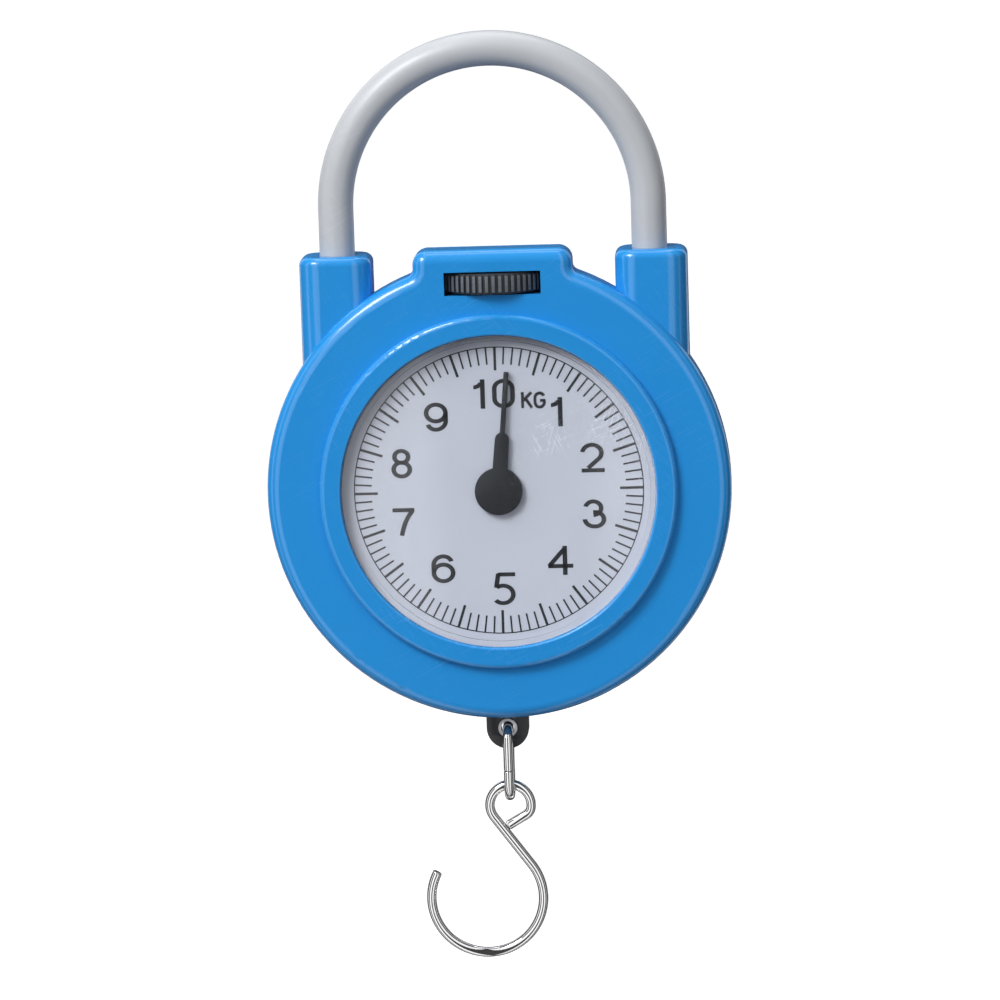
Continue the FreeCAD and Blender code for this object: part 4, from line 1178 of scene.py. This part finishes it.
# --- the studio
@dataclass
class Studio:
    """A plain pale floor, soft lamps and the camera."""

    floor_z: float = -0.42
    floor_half: float = 40.0
    target: tuple[float, float, float] = (-0.0002, -0.0135, -0.0030)
    azimuth: float = math.radians(2.9)
    elevation: float = math.radians(8.8)
    roll: float = math.radians(1.8)
    distance: float = 0.952
    # The bearing of each dark upright's middle, from the front, and its half width.
    dark_bands: tuple[tuple[float, float], ...] = (
        (0.0, 13.0), (58.0, 14.0), (-56.0, 13.0), (106.0, 26.0), (-110.0, 28.0), (180.0, 30.0))
    band_light: float = 0.05
    band_blur: float = 0.2       # share of a band's half width by which its edge fades
    left_share: float = 0.18     # how much brighter the left is than the middle
    surround: float = 1.5
    backdrop: float = 0.95
    lamps: tuple[tuple[str, tuple[float, float, float], float, float], ...] = (
        ("key_softbox", (-0.75, -0.85, 0.95), 15.0, 0.5),
        ("top_softbox", (0.0, 0.25, 1.2), 5.0, 0.8))
    lens: float = 172.0

    def floor(self) -> None:
        """A wide pale floor, which throws little light back up at the scale."""
        clear()
        bpy.ops.mesh.primitive_plane_add(size=2 * self.floor_half,
                                         location=(0, 0, self.floor_z))
        floor = take("studio_floor")
        recipe = Recipe("pale_floor")
        mottle = recipe.noise(0.4, 2.0)
        recipe.surface(Base_Color=recipe.tint(mottle, (0.88, 0.88, 0.88), (0.92, 0.92, 0.92)),
                       Roughness=0.9, Emission_Color=(1.0, 1.0, 1.0), Emission_Strength=0.6)
        dim = recipe.node("ShaderNodeBsdfDiffuse", {}, {"Color": (0.22, 0.22, 0.23)})
        seen = recipe.node("ShaderNodeLightPath", {}, {}, "Is Camera Ray")
        pale = Value(recipe, recipe.shader.outputs[0])
        floor.data.materials.append(recipe.mixed(seen, dim, pale))
        floor.visible_glossy = False

    def lamp(self, name: str, place: tuple[float, float, float], power: float,
             size: float) -> None:
        """One square soft box that faces the scale."""
        data = bpy.data.lights.new(name, "AREA")
        data.shape = "SQUARE"
        data.size = size
        data.energy = power
        lamp = bpy.data.objects.new(name, data)
        lamp.location = place
        lamp.rotation_euler = (Vector(self.target) - Vector(place)).to_track_quat(
            "-Z", "Y").to_euler()
        bpy.context.collection.objects.link(lamp)

    def sky(self) -> None:
        """A white surround with dark uprights in it, brighter to the left.

        The uprights stand for the edges of a light tent, and give bright wire its streaks.
        """
        world = bpy.data.worlds.new("studio_surround")
        world.use_nodes = True
        recipe = NodeTree(world.node_tree)
        way = recipe.node("ShaderNodeTexCoord", {}, {}, "Generated")
        x = recipe.node("ShaderNodeSeparateXYZ", {}, {"Vector": way})
        bearing = recipe.node("ShaderNodeMath", {"operation": "ARCTAN2"},
                              {0: x, 1: 0.0 - x.sibling(1)})
        light = 1.0 - x * self.left_share
        for middle, half in self.dark_bands:
            off = bearing - math.radians(middle)
            off = abs(recipe.node("ShaderNodeMath", {"operation": "WRAP"},
                                  {0: off, 1: math.pi, 2: -math.pi}))
            band = off.above(math.radians(half * (1 - self.band_blur)),
                             math.radians(2 * half * self.band_blur))
            light = light * (band * (1.0 - self.band_light) + self.band_light)
        seen = recipe.node("ShaderNodeLightPath", {}, {}, "Is Camera Ray")
        strength = light * self.surround * (1.0 - seen) + seen * self.backdrop
        glow = recipe.node("ShaderNodeBackground", {}, {"Color": (0.97, 0.98, 1.0),
                                                        "Strength": strength})
        output = recipe.tree.nodes.new("ShaderNodeOutputWorld")
        recipe.tree.links.new(glow.socket, output.inputs[0])
        bpy.context.scene.world = world

    def camera(self) -> None:
        """The camera, a long lens a little above and to the right."""
        data = bpy.data.cameras.new("camera")
        data.lens = self.lens
        data.sensor_width = 36.0
        data.clip_end = 200.0
        camera = bpy.data.objects.new("camera", data)
        back = Vector((math.sin(self.azimuth) * math.cos(self.elevation),
                       -math.cos(self.azimuth) * math.cos(self.elevation),
                       math.sin(self.elevation)))
        turn = (-back).to_track_quat("-Z", "Y").to_matrix().to_4x4()
        place = Matrix.Translation(Vector(self.target) + back * self.distance)
        camera.matrix_world = place @ turn @ Matrix.Rotation(-self.roll, 4, "Z")
        bpy.context.collection.objects.link(camera)
        bpy.context.scene.camera = camera

    def build(self) -> None:
        """Sets the studio up."""
        self.floor()
        for name, place, power, size in self.lamps:
            self.lamp(name, place, power, size)
        self.sky()
        self.camera()
        bpy.context.scene.view_settings.view_transform = "Standard"
        log.info("studio is set")


def main() -> None:
    """Builds every sub-assembly in order."""
    logging.basicConfig(level=logging.INFO, format="%(name)s: %(message)s")
    Studio().build()
    Case().build()
    Lens().build()
    Handle().build()
    DialPrint().build()
    Pointer().build()
    ZeroWheel().build()
    LoadBar().build()
    Springs().build()
    HangingWire().build()


if __name__ == "__main__":
    main()
